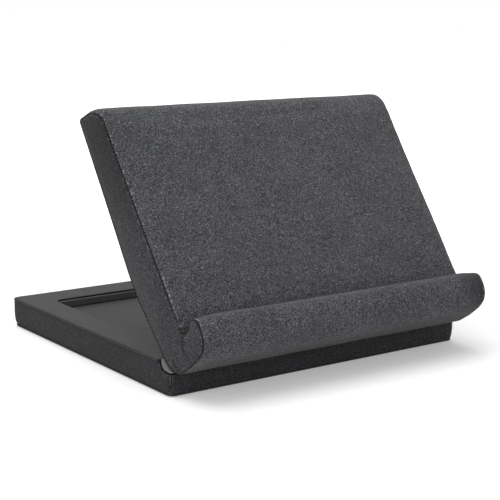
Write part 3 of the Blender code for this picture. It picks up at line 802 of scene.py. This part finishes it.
# Outline of a form moved outward by outset
def planOutline(form, outset):
    return [p for p, out in planLoop(form, outset, form["corner"] + outset)]


# Outline of the top cover: the base's plan behind the seat.
def topOutline(inset):
    front = baseForm["seatBack"] + 0.2 + inset
    side = baseForm["width"] / 2 - inset
    back = baseForm["depth"] / 2 - inset
    corners = [(-side, front, 0.6), (side, front, 0.6),
               (side, back, baseForm["corner"] - inset), (-side, back, baseForm["corner"] - inset)]
    return outlinePoints(corners, outlineSteps(corners, baseForm["spacing"]))


# How far a point lies inside the top cover's outline
def topInset(p):
    return min(planInset(p, baseForm), p.y - baseForm["seatBack"] - 0.2)


topCoverForm = {"below": 0.5, "thick": 1.0, "rings": (0, 0.5, 1.8), "lipRings": (1.8, 0.5, 0)}
trayFloorForm = {"below": 0.25, "edgeFrom": 0.3, "edge": 1.0, "edgeFall": 0.6, "bottom": 1.4,
                 "rings": (-0.3, -0.9, -2.6), "spacing": 5.0}
undersideForm = {"top": 1.6, "edgeFrom": 0.9, "edge": 1.2, "rings": (-0.9, -1.25, -2.2), "spacing": 8.0}


def buildTopCover():
    def upper(p):
        fall = roundFall(topInset(p), baseForm["edge"]) + roundFall(-planInset(p, trayForm), trayForm["lip"])
        return baseForm["height"] - topCoverForm["below"] - fall

    rings = [topOutline(inset) for inset in topCoverForm["rings"]]
    holes = [planOutline(trayForm, outset) for outset in topCoverForm["lipRings"]]
    lower = lambda p: upper(p) - topCoverForm["thick"]
    return heightSheet("topCover", rings, holes, upper, lower, baseForm["spacing"])


def buildTrayFloor():
    def upper(p):
        fall = roundFall(planInset(p, trayForm) - trayFloorForm["edgeFrom"], trayFloorForm["edge"])
        return trayForm["floor"] - trayFloorForm["below"] - fall * trayFloorForm["edgeFall"]

    lower = lambda p: trayForm["floor"] - trayFloorForm["bottom"]
    rings = [planOutline(trayForm, outset) for outset in trayFloorForm["rings"]]
    return heightSheet("trayFloor", rings, [], upper, lower, trayFloorForm["spacing"])


def buildUnderside():
    upper = lambda p: undersideForm["top"]
    lower = lambda p: roundFall(planInset(p, footForm) - undersideForm["edgeFrom"], undersideForm["edge"])
    rings = [planOutline(footForm, outset) for outset in undersideForm["rings"]]
    return heightSheet("underside", rings, [], upper, lower, undersideForm["spacing"])


def buildTrayWall():
    low = trayForm["floor"] - 1.2
    high = baseForm["height"] - trayForm["lip"] - 0.35
    profile = [(0.02, low), (0.12, low + 1.6), (0.16, low + 3.2), (0.12, high - 1.8), (0.1, high - 0.5),
               (0.4, high), (1.4, high), (1.4, low)]
    place = lambda point, out, outset, height: Vector((*(point + out * outset), height))
    return sweepLoop("trayWall", planLoop(trayForm, 0, trayForm["corner"]), profile, place)


stripForm = {"voxel": 0.7, "smooth": 6, "factor": 0.5, "halfWidth": 133.6}


# The soft strip in the seat: the CAD solid's shape with its edges softened.
def buildStrip():
    obj = addObject("seatStrip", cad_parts["joint_strip"].data.copy())
    obj.data.materials.clear()
    fixNormals(obj)
    remesh = obj.modifiers.new("Remesh", "REMESH")
    remesh.mode = "VOXEL"
    remesh.voxel_size = stripForm["voxel"] * mm
    soften = obj.modifiers.new("Smooth", "SMOOTH")
    soften.factor = stripForm["factor"]
    soften.iterations = stripForm["smooth"]
    applyModifiers(obj)
    fixNormals(obj)
    narrower = stripForm["halfWidth"] / (baseForm["width"] / 2)
    for v in obj.data.vertices:
        v.co.x *= narrower
    return obj


# Notches in the top cover where the straps of the hinges rise behind the seat
strapNotch = {"width": 32.0, "front": -114.0, "back": -107.1, "low": 18.0, "high": 30.0}


def cutStrapNotches(cover):
    front, back, low, high = (strapNotch[key] for key in ("front", "back", "low", "high"))
    section = [Vector((0, y, z)) for y, z in ((front, low), (back, low), (back, high), (front, high))]
    cutOut(cover, [crossBar(section, middle, strapNotch["width"]) for middle in hingeMiddles])


sideBand = buildSideBand()
topCover = buildTopCover()
trayWall = buildTrayWall()
trayFloor = buildTrayFloor()
underside = buildUnderside()
seatStrip = buildStrip()


# How free the side band is at a point: 0 at its seams, 1 half way up.
def bandSwell(point):
    t = (point.z - bandBottom) / (bandTop(point.y) - bandBottom)
    return 0 if planInset(point, baseForm) > 0.5 else max(0, 1 - (2 * t - 1) ** 4)


def onTop(point):
    return point.z > baseForm["height"] - 1


def sewnBand(point):
    return 1.0 if bandSwell(point) < 0.35 else 0.0


def sewnTop(point):
    return 1.0 if topInset(point) < 1 or planInset(point, trayForm) > -1 or not onTop(point) else 0.0


puff(sideBand, sewnBand, lambda p: baseCloth["sideCap"] * bandSwell(p), baseCloth)
puff(topCover, sewnTop, lambda p: baseCloth["topCap"] if onTop(p) else 0, baseCloth)
subdivide(sideBand)
subdivide(topCover)

# Upright seams of the side band, one at each front corner
cornerSeam = {"x": 134.7, "y": -125.7, "depth": 0.5, "width": 0.8}
bandRuffle = {"height": 0.06, "size": 5, "seed": 6}


def cornerSeamDistance(point):
    return math.hypot(abs(point.x) - cornerSeam["x"], point.y - cornerSeam["y"])


def bandShift(point, normal):
    free = bandSwell(point)
    ruffle = bandRuffle["height"] * unevenness(point, bandRuffle["size"], bandRuffle["seed"])
    shift = free * (lumps(point, "sideBand") - 0.12) + ruffle * (1 - free)
    return shift - cornerSeam["depth"] * fade(cornerSeamDistance(point), cornerSeam["width"])


# Pull the band's lower edge in at the four corners, where the underside is rounder
def tuckCorners(obj):
    for v in obj.data.vertices:
        p = v.co / mm
        corner = math.hypot(baseForm["width"] / 2 - abs(p.x), baseForm["depth"] / 2 - abs(p.y))
        low = max(0, min(1, 1 - (p.z - bandBottom) / bandForm["tuckHigh"]))
        pull = bandForm["tuck"] * low ** 2 * fade(corner, bandForm["tuckReach"]) * mm
        v.co -= Vector((math.copysign(pull, p.x), math.copysign(pull, p.y), 0))


def topShift(point, normal):
    if point.z < baseForm["height"] - 1.2:
        return 0
    return lumps(point, "topCover") - 0.06


print("Creases and seams of the base")
dentAndRuffle(sideBand, bandShift)
tuckCorners(sideBand)
dentAndRuffle(topCover, topShift)
dentAndRuffle(trayFloor, lambda p, n: lumps(p, "trayFloor") * (n.z > 0.5))
dentAndRuffle(trayWall, lambda p, n: lumps(p, "trayWall") * (abs(n.z) < 0.5))
dentAndRuffle(seatStrip, lambda p, n: lumps(p, "seatStrip") - 0.05)
cutStrapNotches(topCover)


bandSeam = {"foot": 1.2, "lift": 0.25, "seatLift": 0.85, "corner": 0.4}


# Distance from the band's seams, whose line at the top lies higher in the seat
def bandSeamDistance(point):
    lift = bandSeam["lift" if point.y > baseForm["seatBack"] else "seatLift"]
    fromCorner = cornerSeamDistance(point) - bandSeam["corner"]
    return max(0, min(point.z - bandSeam["foot"], bandTop(point.y) + lift - point.z, fromCorner))


# Distances that the seam shade reads: painted shade along the base's seams, on the tray floor by its wall and
# at the foot of the tray wall
storeValue(sideBand, "seamDistance", bandSeamDistance)
storeValue(underside, "seamDistance", lambda p: 9.0)
storeValue(topCover, "seamDistance", lambda p: max(0, topInset(p) + 0.1))
storeValue(trayFloor, "seamDistance", lambda p: max(0, planInset(p, trayForm)))
storeValue(trayWall, "seamDistance", lambda p: max(0, p.z - trayForm["floor"] + 0.2))

# Each piece: body, CAD nodes that it stands for, fill of the padded ones, material and slot
pieceTable = {
    "panelCover": ("panel", ["panel_wrap_cover", "panel_front_foam", "panel_back_foam", "lip_foam"],
                   0.9, "panelPlush", "plush"),
    "leftGusset": ("panel", ["left_end_gusset"], 0.8, "gussetPlush", "plush_gusset"),
    "rightGusset": ("panel", ["right_end_gusset"], 0.8, "gussetPlush", "plush_gusset"),
    "topCover": ("base", ["base_top_cover", "base_foam"], 0.9, "topCloth", "smooth_top"),
    "sideBand": ("base", ["base_side_band"], 0.95, "basePlush", "plush_base"),
    "trayWall": ("base", ["tray_wall_lining"], None, "wallClothPaintedLighter", "smooth_top"),
    "trayFloor": ("base", ["tray_floor_lining"], None, "trayCloth", "smooth_top"),
    "underside": ("base", ["base_underside_cover"], None, "basePlush", "plush_base"),
    "seatStrip": ("base", ["joint_strip"], 0.9, "stripCloth", "joint_strip"),
}
for name, (body, nodes, fill, materialName, slotName) in pieceTable.items():
    piece = bpy.data.objects[name]
    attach(piece, body)
    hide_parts(*nodes)

print("Materials")


# Shader group that reads a vector and puts out values. Gives its tree, the vector and the output node.
def makeGroup(name, outputs):
    tree = bpy.data.node_groups.new(name, "ShaderNodeTree")
    tree.interface.new_socket("Vector", in_out="INPUT", socket_type="NodeSocketVector")
    for label in outputs:
        tree.interface.new_socket(label, in_out="OUTPUT", socket_type="NodeSocketFloat")
    return tree, tree.nodes.new("NodeGroupInput").outputs["Vector"], tree.nodes.new("NodeGroupOutput")


# Set sockets of a node, each to a value or linked from another node's output
def setInputs(tree, node, inputs):
    for key, value in inputs.items():
        if isinstance(value, bpy.types.NodeSocket):
            tree.links.new(value, node.inputs[key])
        else:
            node.inputs[key].default_value = value


def addNode(tree, kind, inputs={}, **settings):
    node = tree.nodes.new(kind)
    for key, value in settings.items():
        setattr(node, key, value)
    setInputs(tree, node, inputs)
    return node


def addNoise(tree, vector, scale, detail=3.0, roughness=0.6, distortion=0.0):
    inputs = {"Vector": vector, "Scale": scale, "Detail": detail,
              "Roughness": roughness, "Distortion": distortion}
    return addNode(tree, "ShaderNodeTexNoise", inputs).outputs["Fac"]


def addWave(tree, vector, direction, inputs):
    node = addNode(tree, "ShaderNodeTexWave", {"Vector": vector, **inputs}, bands_direction=direction)
    return node.outputs["Fac"]


def readValue(tree, name):
    return addNode(tree, "ShaderNodeAttribute", attribute_name=name).outputs["Fac"]


def remap(tree, value, low, high, toLow=0.0, toHigh=1.0):
    inputs = {"Value": value, "From Min": low, "From Max": high, "To Min": toLow, "To Max": toHigh}
    return addNode(tree, "ShaderNodeMapRange", inputs, interpolation_type="SMOOTHSTEP").outputs["Result"]


def combine(tree, operation, first, second):
    return addNode(tree, "ShaderNodeMath", {0: first, 1: second}, operation=operation).outputs[0]


def multiply(tree, first, second):
    return combine(tree, "MULTIPLY", first, second)


def mixColours(tree, amount, first, second):
    node = addNode(tree, "ShaderNodeMix", data_type="RGBA")
    sockets = [i for i, socket in enumerate(node.inputs) if socket.enabled]
    setInputs(tree, node, dict(zip(sockets, (amount, first, second))))
    return next(socket for socket in node.outputs if socket.enabled)


# Colour from a level of 0 to 255 as a screen shows it
def grey(level, tint=(1, 1, 1)):
    linear = (level / 255) ** 2.2
    return (*(linear * t for t in tint), 1)


# Noises of the nap as (scale, detail, roughness, distortion), and the ranges that they are read over
napForm = {"fine": (920, 2.5, 0.75), "coarse": (260, 2.0, 0.5, 0.4), "strokes": (34, 3.0, 0.6, 0.3),
           "hairs": (820, 1.0, 0.4), "fineShare": 0.88, "coarseShare": 0.12,
           "fleckRange": (0.39, 0.61), "hairRange": (0.60, 0.74), "patchRange": (0.3, 0.7)}


# Plush nap: fine flecks, sparse light hairs, stroked patches and the height of the pile
def buildNapGroup():
    tree, vector, result = makeGroup("plushNap", ("Fleck", "Hair", "Patch", "Height"))
    fine, coarse, strokes, hairs = (addNoise(tree, vector, *napForm[key])
                                    for key in ("fine", "coarse", "strokes", "hairs"))
    pile = combine(tree, "ADD", multiply(tree, fine, napForm["fineShare"]),
                   multiply(tree, coarse, napForm["coarseShare"]))
    setInputs(tree, result, {"Fleck": remap(tree, pile, *napForm["fleckRange"]),
                             "Hair": remap(tree, hairs, *napForm["hairRange"]),
                             "Patch": remap(tree, strokes, *napForm["patchRange"]), "Height": pile})
    return tree


# Fine plain weave from two sets of threads that cross, with uneven threads
def buildWeaveGroup():
    tree, vector, result = makeGroup("fineWeave", ("Threads", "Mottle"))
    uneven = {"Scale": 480, "Distortion": 1.2, "Detail": 2.0}
    threads = multiply(tree, addWave(tree, vector, "X", uneven), addWave(tree, vector, "Y", uneven))
    mottle = remap(tree, addNoise(tree, vector, 95, 4.0, 0.65), 0.3, 0.7)
    setInputs(tree, result, {"Threads": threads, "Mottle": mottle})
    return tree


# Where the seam's painted shade ends and the light line beside it, nap wear and painted highlight, starts and
# ends, in millimetres
seamForm = {"shade": (0.35, 0.9), "wornAndHighlitFrom": (0.8, 1.1), "wornAndHighlitTo": (1.3, 2.0), "wobble": 0.35,
            "wobbleScale": 260, "brokenScale": 340, "brokenRange": (0.5, 0.66)}


# Painted shade close to a seam, and the light line beside it, nap wear and a painted highlight, from the
# seamDistance attribute
def buildSeamGroup():
    tree, vector, result = makeGroup("seamShade", ("Shade", "Edge"))
    wobble = combine(tree, "SUBTRACT", addNoise(tree, vector, seamForm["wobbleScale"], 2.0), 0.5)
    wobble = multiply(tree, wobble, seamForm["wobble"])
    distance = combine(tree, "ADD", readValue(tree, "seamDistance"), wobble)
    shade = remap(tree, distance, *seamForm["shade"], 1.0, 0.0)
    wornAndHighlit = multiply(tree, remap(tree, distance, *seamForm["wornAndHighlitFrom"]),
                    remap(tree, distance, *seamForm["wornAndHighlitTo"], 1.0, 0.0))
    broken = remap(tree, addNoise(tree, vector, seamForm["brokenScale"], 2.0), *seamForm["brokenRange"])
    setInputs(tree, result, {"Shade": shade, "Edge": multiply(tree, wornAndHighlit, broken)})
    return tree


napGroup = buildNapGroup()
weaveGroup = buildWeaveGroup()
seamGroup = buildSeamGroup()


def startMaterial(name):
    material = bpy.data.materials.new(name)
    material.use_nodes = True
    tree = material.node_tree
    coordinates = tree.nodes.new("ShaderNodeTexCoord").outputs["Object"]
    return material, tree, coordinates, tree.nodes["Principled BSDF"]


def useGroup(tree, group, vector):
    return addNode(tree, "ShaderNodeGroup", {"Vector": vector}, node_tree=group).outputs


def addBump(tree, height, strength, distance):
    inputs = {"Strength": strength, "Distance": distance, "Height": height}
    return addNode(tree, "ShaderNodeBump", inputs).outputs["Normal"]


# Painted shade where a surface turns away from the eye: from where, to where, by how much and to which level
rimForm = {"from": 0.62, "to": 0.97, "amount": 0.8, "level": 12}


# Colour of cloth with painted shade where the surface turns away from the eye
def paintedRimShade(tree, colour):
    facing = addNode(tree, "ShaderNodeLayerWeight", {"Blend": 0.5}).outputs["Facing"]
    rim = remap(tree, facing, rimForm["from"], rimForm["to"], 0.0, rimForm["amount"])
    return mixColours(tree, rim, colour, grey(rimForm["level"]))


# Levels of the plush: its dark and light flecks and its hairs
plushForm = {
    "panelPlush": {"dark": 41, "light": 88, "hair": 142, "sheen": 0.12, "bump": 0.6},
    "gussetPlush": {"dark": 38, "light": 72, "hair": 114, "sheen": 0.08, "bump": 0.5},
    "basePlush": {"dark": 34, "light": 57, "hair": 82, "sheen": 0.05, "bump": 0.4},
}
# Tints of the dark flecks, the light flecks and the painted shade
plushTints = {"dark": (0.95, 0.98, 1.08), "light": (0.96, 0.985, 1.07), "dim": (0.96, 0.98, 1.07)}
plushMix = {"hair": 0.55, "patch": 0.20, "edge": 0.75, "patchDarker": 6, "paintedShadeDarker": 14, "seam": 9,
            "roughness": 0.92, "specular": 0.2, "sheenRoughness": 0.45, "pile": 0.0006}


def makePlush(name, dark, light, hair, sheen, bump):
    material, tree, coordinates, shader = startMaterial(name)
    nap = useGroup(tree, napGroup, coordinates)
    seam = useGroup(tree, seamGroup, coordinates)
    colour = grey(dark, plushTints["dark"])
    # Over the dark flecks: light flecks, hairs and stroked patches of the nap, painted shade from the dim
    # attribute, the light line by seams (nap wear and painted highlight) and painted shade at seams
    for amount, other in ((nap["Fleck"], grey(light, plushTints["light"])),
                          (multiply(tree, nap["Hair"], plushMix["hair"]), grey(hair)),
                          (multiply(tree, nap["Patch"], plushMix["patch"]),
                           grey(dark - plushMix["patchDarker"])),
                          (readValue(tree, "dim"), grey(dark - plushMix["paintedShadeDarker"], plushTints["dim"])),
                          (multiply(tree, seam["Edge"], plushMix["edge"]), grey(hair)),
                          (seam["Shade"], grey(plushMix["seam"]))):
        colour = mixColours(tree, amount, colour, other)
    setInputs(tree, shader, {"Base Color": paintedRimShade(tree, colour), "Roughness": plushMix["roughness"],
                             "Specular IOR Level": plushMix["specular"], "Sheen Weight": sheen,
                             "Sheen Roughness": plushMix["sheenRoughness"],
                             "Normal": addBump(tree, nap["Height"], bump, plushMix["pile"])})


# The tray wall's cloth is the tray floor's cloth painted much lighter: painted light on the shaded wall of
# the recess
clothForm = {
    "topCloth": {"level": 54, "tint": (0.99, 0.97, 1.06), "weave": 0.25, "sheen": 0.05},
    "trayCloth": {"level": 55, "tint": (0.99, 0.98, 1.06), "weave": 0.2, "sheen": 0.03},
    "wallClothPaintedLighter": {"level": 84, "tint": (0.99, 0.98, 1.06), "weave": 0.2, "sheen": 0.03},
    "stripCloth": {"level": 170, "tint": (1.0, 1.0, 1.02), "weave": 0.3, "sheen": 0.1},
}


def makeSmoothCloth(name, level, tint, weave, sheen):
    material, tree, coordinates, shader = startMaterial(name)
    cloth = useGroup(tree, weaveGroup, coordinates)
    seam = useGroup(tree, seamGroup, coordinates)
    colour = grey(level - 4, tint)
    # Mottle and threads of the weave, then painted shade by seams
    for amount, other in ((cloth["Mottle"], level + 3), (multiply(tree, cloth["Threads"], 0.25), level + 14),
                          (multiply(tree, seam["Shade"], 0.7), level * 0.4)):
        colour = mixColours(tree, amount, colour, grey(other, tint))
    setInputs(tree, shader, {"Base Color": paintedRimShade(tree, colour), "Roughness": 0.8,
                             "Specular IOR Level": 0.25, "Sheen Weight": sheen,
                             "Normal": addBump(tree, cloth["Threads"], weave, 0.0002)})


for name, look in plushForm.items():
    makePlush(name, **look)
for name, look in clothForm.items():
    makeSmoothCloth(name, **look)
for name, (body, nodes, fill, materialName, slotName) in pieceTable.items():
    piece = bpy.data.objects[name]
    piece.data.materials.clear()
    piece.data.materials.append(bpy.data.materials[materialName])

print("Stitches")


# Rows of thread stitches along curves: one node tree, with its sizes as inputs
def buildStitchTree():
    tree = bpy.data.node_groups.new("stitchRow", "GeometryNodeTree")
    for label, kind in (("Geometry", "Geometry"), ("Spacing", "Float"), ("Length", "Float"),
                        ("Thickness", "Float"), ("Unevenness", "Float"), ("Seed", "Int"),
                        ("Thread", "Material")):
        tree.interface.new_socket(label, in_out="INPUT", socket_type="NodeSocket" + kind)
    tree.interface.new_socket("Geometry", in_out="OUTPUT", socket_type="NodeSocketGeometry")
    given = tree.nodes.new("NodeGroupInput").outputs
    low = combine(tree, "SUBTRACT", 1.0, given["Unevenness"])
    high = combine(tree, "ADD", 1.0, given["Unevenness"])

    # A size made a little uneven from stitch to stitch
    def uneven(size, offset):
        seed = combine(tree, "ADD", given["Seed"], offset)
        node = addNode(tree, "FunctionNodeRandomValue", {2: low, 3: high, "Seed": seed}, data_type="FLOAT")
        return multiply(tree, node.outputs[1], size)

    places = addNode(tree, "GeometryNodeCurveToPoints",
                     {"Curve": given["Geometry"], "Length": given["Spacing"]}, mode="LENGTH").outputs
    sphere = addNode(tree, "GeometryNodeMeshUVSphere", {"Segments": 8, "Rings": 6, "Radius": 0.5})
    scale = addNode(tree, "ShaderNodeCombineXYZ", {"X": uneven(given["Thickness"], 1),
                                                   "Y": uneven(given["Thickness"], 2),
                                                   "Z": uneven(given["Length"], 3)})
    copies = addNode(tree, "GeometryNodeInstanceOnPoints",
                     {"Points": places["Points"], "Rotation": places["Rotation"],
                      "Instance": sphere.outputs["Mesh"], "Scale": scale.outputs["Vector"]})
    real = addNode(tree, "GeometryNodeRealizeInstances", {"Geometry": copies.outputs["Instances"]})
    painted = addNode(tree, "GeometryNodeSetMaterial",
                      {"Geometry": real.outputs["Geometry"], "Material": given["Thread"]})
    addNode(tree, "NodeGroupOutput", {"Geometry": painted.outputs["Geometry"]})
    return tree


stitchTree = buildStitchTree()


# One mesh of stitches along lines, each (points in millimetres, closed or not)
def sewStitches(name, lines, sizes, thread, body):
    curve = bpy.data.curves.new(name + "Line", "CURVE")
    curve.dimensions = "3D"
    for points, closed in lines:
        spline = curve.splines.new("POLY")
        spline.points.add(len(points) - 1)
        for target, point in zip(spline.points, points):
            target.co = (*(Vector(point) * mm), 1)
        spline.use_cyclic_u = closed
    line = addObject(name + "Line", curve)
    modifier = line.modifiers.new("Stitches", "NODES")
    modifier.node_group = stitchTree
    values = {label: sizes[label.lower()] * mm for label in ("Spacing", "Length", "Thickness")}
    values.update({"Unevenness": sizes["unevenness"], "Seed": sizes["seed"], "Thread": thread})
    for item in stitchTree.interface.items_tree:
        if item.in_out == "INPUT" and item.name in values:
            modifier[item.identifier] = values[item.name]
    depsgraph = bpy.context.evaluated_depsgraph_get()
    mesh = bpy.data.meshes.new_from_object(line.evaluated_get(depsgraph), depsgraph=depsgraph)
    obj = addObject(name, mesh)
    bpy.data.objects.remove(line, do_unlink=True)
    mesh.shade_smooth()
    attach(obj, body)


# Thread with a faint twist
def makeThread(name, level):
    material, tree, coordinates, shader = startMaterial(name)
    twist = addWave(tree, coordinates, "DIAGONAL", {"Scale": 900})
    setInputs(tree, shader, {"Base Color": mixColours(tree, twist, grey(level * 0.7), grey(level)),
                             "Roughness": 0.6, "Normal": addBump(tree, twist, 0.4, 0.0001)})
    return material


seamStitches = {"spacing": 2.9, "length": 1.7, "thickness": 0.42, "unevenness": 0.2, "seed": 5, "lift": 0.25}
topStitches = {"inset": 0.1, "drop": 2.0}
cornerStitches = {"spacing": 1.5, "length": 1.15, "thickness": 0.4, "unevenness": 0.25, "seed": 9,
                  "low": 9.6, "high": 15.6}
darkThread = makeThread("darkThread", 74)
lightThread = makeThread("lightThread", 150)

endLines = []
cornerLines = []
for side in (-1, 1):
    endLines.append(([p + Vector((side * seamStitches["lift"], 0, 0)) for p in seamLine[side]], True))
    upright = [(side * cornerSeam["x"], cornerSeam["y"], cornerStitches[end]) for end in ("low", "high")]
    cornerLines.append((upright, False))

topSeam = [Vector((p.x, p.y, baseForm["height"] - topStitches["drop"]))
           for p, out in planLoop(baseForm, -topStitches["inset"], baseForm["corner"])
           if p.y > baseForm["seatBack"] + 1]
gap = max(range(len(topSeam)), key=lambda i: (topSeam[i] - topSeam[i - 1]).length)  # where the seat is
topSeam = topSeam[gap:] + topSeam[:gap]

sewStitches("panelStitches", endLines, seamStitches, darkThread, "panel")
sewStitches("baseStitches", [(topSeam, False)], seamStitches, darkThread, "base")
sewStitches("cornerThreads", cornerLines, cornerStitches, lightThread, "base")

print("Hinges and boards")


# Zinc-plated steel with fine rolling marks
def makeSteel():
    material, tree, coordinates, shader = startMaterial("platedSteel")
    stretched = addNode(tree, "ShaderNodeMapping", {"Vector": coordinates, "Scale": (1, 14, 1)})
    marks = addNoise(tree, stretched.outputs["Vector"], 260, 4.0, 0.7)
    blotches = remap(tree, addNoise(tree, coordinates, 60), 0.35, 0.65)
    colour = mixColours(tree, blotches, grey(168, (1, 1, 1.02)), grey(196, (1, 1, 1.03)))
    setInputs(tree, shader, {"Base Color": colour, "Roughness": remap(tree, marks, 0.3, 0.7, 0.28, 0.5),
                             "Metallic": 1.0, "Normal": addBump(tree, marks, 0.25, 0.0001)})
    return material


# Pressed fibre board
def makeBoard():
    material, tree, coordinates, shader = startMaterial("fibreBoard")
    fibres = addNoise(tree, coordinates, 420, 5.0, 0.7, 1.2)
    clouds = multiply(tree, addNoise(tree, coordinates, 30, 2.0), 0.3)
    fibred = remap(tree, fibres, 0.35, 0.65)
    colour = mixColours(tree, fibred, (0.16, 0.095, 0.05, 1), (0.32, 0.21, 0.12, 1))
    colour = mixColours(tree, clouds, colour, (0.22, 0.15, 0.09, 1))
    setInputs(tree, shader, {"Base Color": colour, "Roughness": 0.85,
                             "Normal": addBump(tree, fibres, 0.3, 0.0002)})
    return material


steel = makeSteel()
fibreBoard = makeBoard()
replaced = {node for row in pieceTable.values() for node in row[1]}
for name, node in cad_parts.items():
    if name not in replaced:
        for materialSlot in node.material_slots:
            materialSlot.material = fibreBoard if name.endswith("_board") else steel

print("Camera and light")

photoCamera = {"place": (-0.5829, -0.8579, 0.2692), "direction": (0.5657, 0.8028, -0.1888), "lens": 92.38}


# Turn an object so that it looks along a direction
def aim(obj, direction):
    obj.rotation_euler = Vector(direction).to_track_quat("-Z", "Y").to_euler()


cameraData = bpy.data.cameras.new("camera")
cameraData.lens = photoCamera["lens"]
cameraData.sensor_width = 36
camera = addObject("camera", cameraData)
camera.location = photoCamera["place"]
aim(camera, photoCamera["direction"])
scene.camera = camera
scene.view_settings.view_transform = "Standard"

lamps = {
    "above": {"place": (-0.25, 0.15, 1.25), "size": 1.3, "power": 14, "colour": (1, 1, 1)},
    "left": {"place": (-1.3, -0.35, 0.55), "size": 1.0, "power": 4.1, "colour": (1, 1, 1)},
    "front": {"place": (0.0, -1.5, 0.38), "size": 1.1, "power": 7.6, "colour": (0.99, 0.99, 1)},
    "back": {"place": (0.7, 1.2, 0.8), "size": 1.0, "power": 4, "colour": (1, 1, 1)},
}
lampTarget = Vector((0, 0, 0.05))
for name, lamp in lamps.items():
    data = bpy.data.lights.new(name, "AREA")
    data.size = lamp["size"]
    data.energy = lamp["power"]
    data.color = lamp["colour"]
    light = addObject(name, data)
    light.location = lamp["place"]
    aim(light, lampTarget - light.location)

# The eye sees white behind the stand, and the stand is lit by a dimmer world
worldForm = {"light": 0.44, "seen": 1.0}
world = bpy.data.worlds.new("studio")
scene.world = world
world.use_nodes = True
tree = world.node_tree
dim = tree.nodes["Background"]
setInputs(tree, dim, {"Color": (1, 1, 1, 1), "Strength": worldForm["light"]})
white = addNode(tree, "ShaderNodeBackground", {"Color": (1, 1, 1, 1), "Strength": worldForm["seen"]})
rays = tree.nodes.new("ShaderNodeLightPath").outputs
direct = combine(tree, "MAXIMUM", rays["Is Camera Ray"], rays["Is Transmission Ray"])
direct = combine(tree, "MAXIMUM", direct, rays["Is Glossy Ray"])
both = addNode(tree, "ShaderNodeMixShader", {0: direct, 1: dim.outputs[0], 2: white.outputs[0]})
setInputs(tree, tree.nodes["World Output"], {"Surface": both.outputs[0]})

# The floor keeps the shadow close to the stand and turns white further away
floorForm = {"size": 8.0, "height": -0.0004, "colour": 0.80, "glow": 0.24, "whiteFrom": 0.26, "whiteTo": 0.62}
bpy.ops.mesh.primitive_plane_add(size=floorForm["size"], location=(0, 0, floorForm["height"]))
floor = bpy.context.object
floor.name = "floor"
floorMaterial, tree, coordinates, shader = startMaterial("paleFloor")
seen = tree.nodes.new("ShaderNodeLightPath").outputs["Is Camera Ray"]
away = addNode(tree, "ShaderNodeVectorMath", {0: coordinates}, operation="LENGTH").outputs["Value"]
glow = remap(tree, away, floorForm["whiteFrom"], floorForm["whiteTo"], floorForm["glow"], 1.0)
setInputs(tree, shader, {"Base Color": (*(floorForm["colour"],) * 3, 1), "Roughness": 0.9,
                         "Specular IOR Level": 0.0, "Emission Color": (1, 1, 1, 1),
                         "Emission Strength": multiply(tree, seen, glow)})
floor.data.materials.append(floorMaterial)
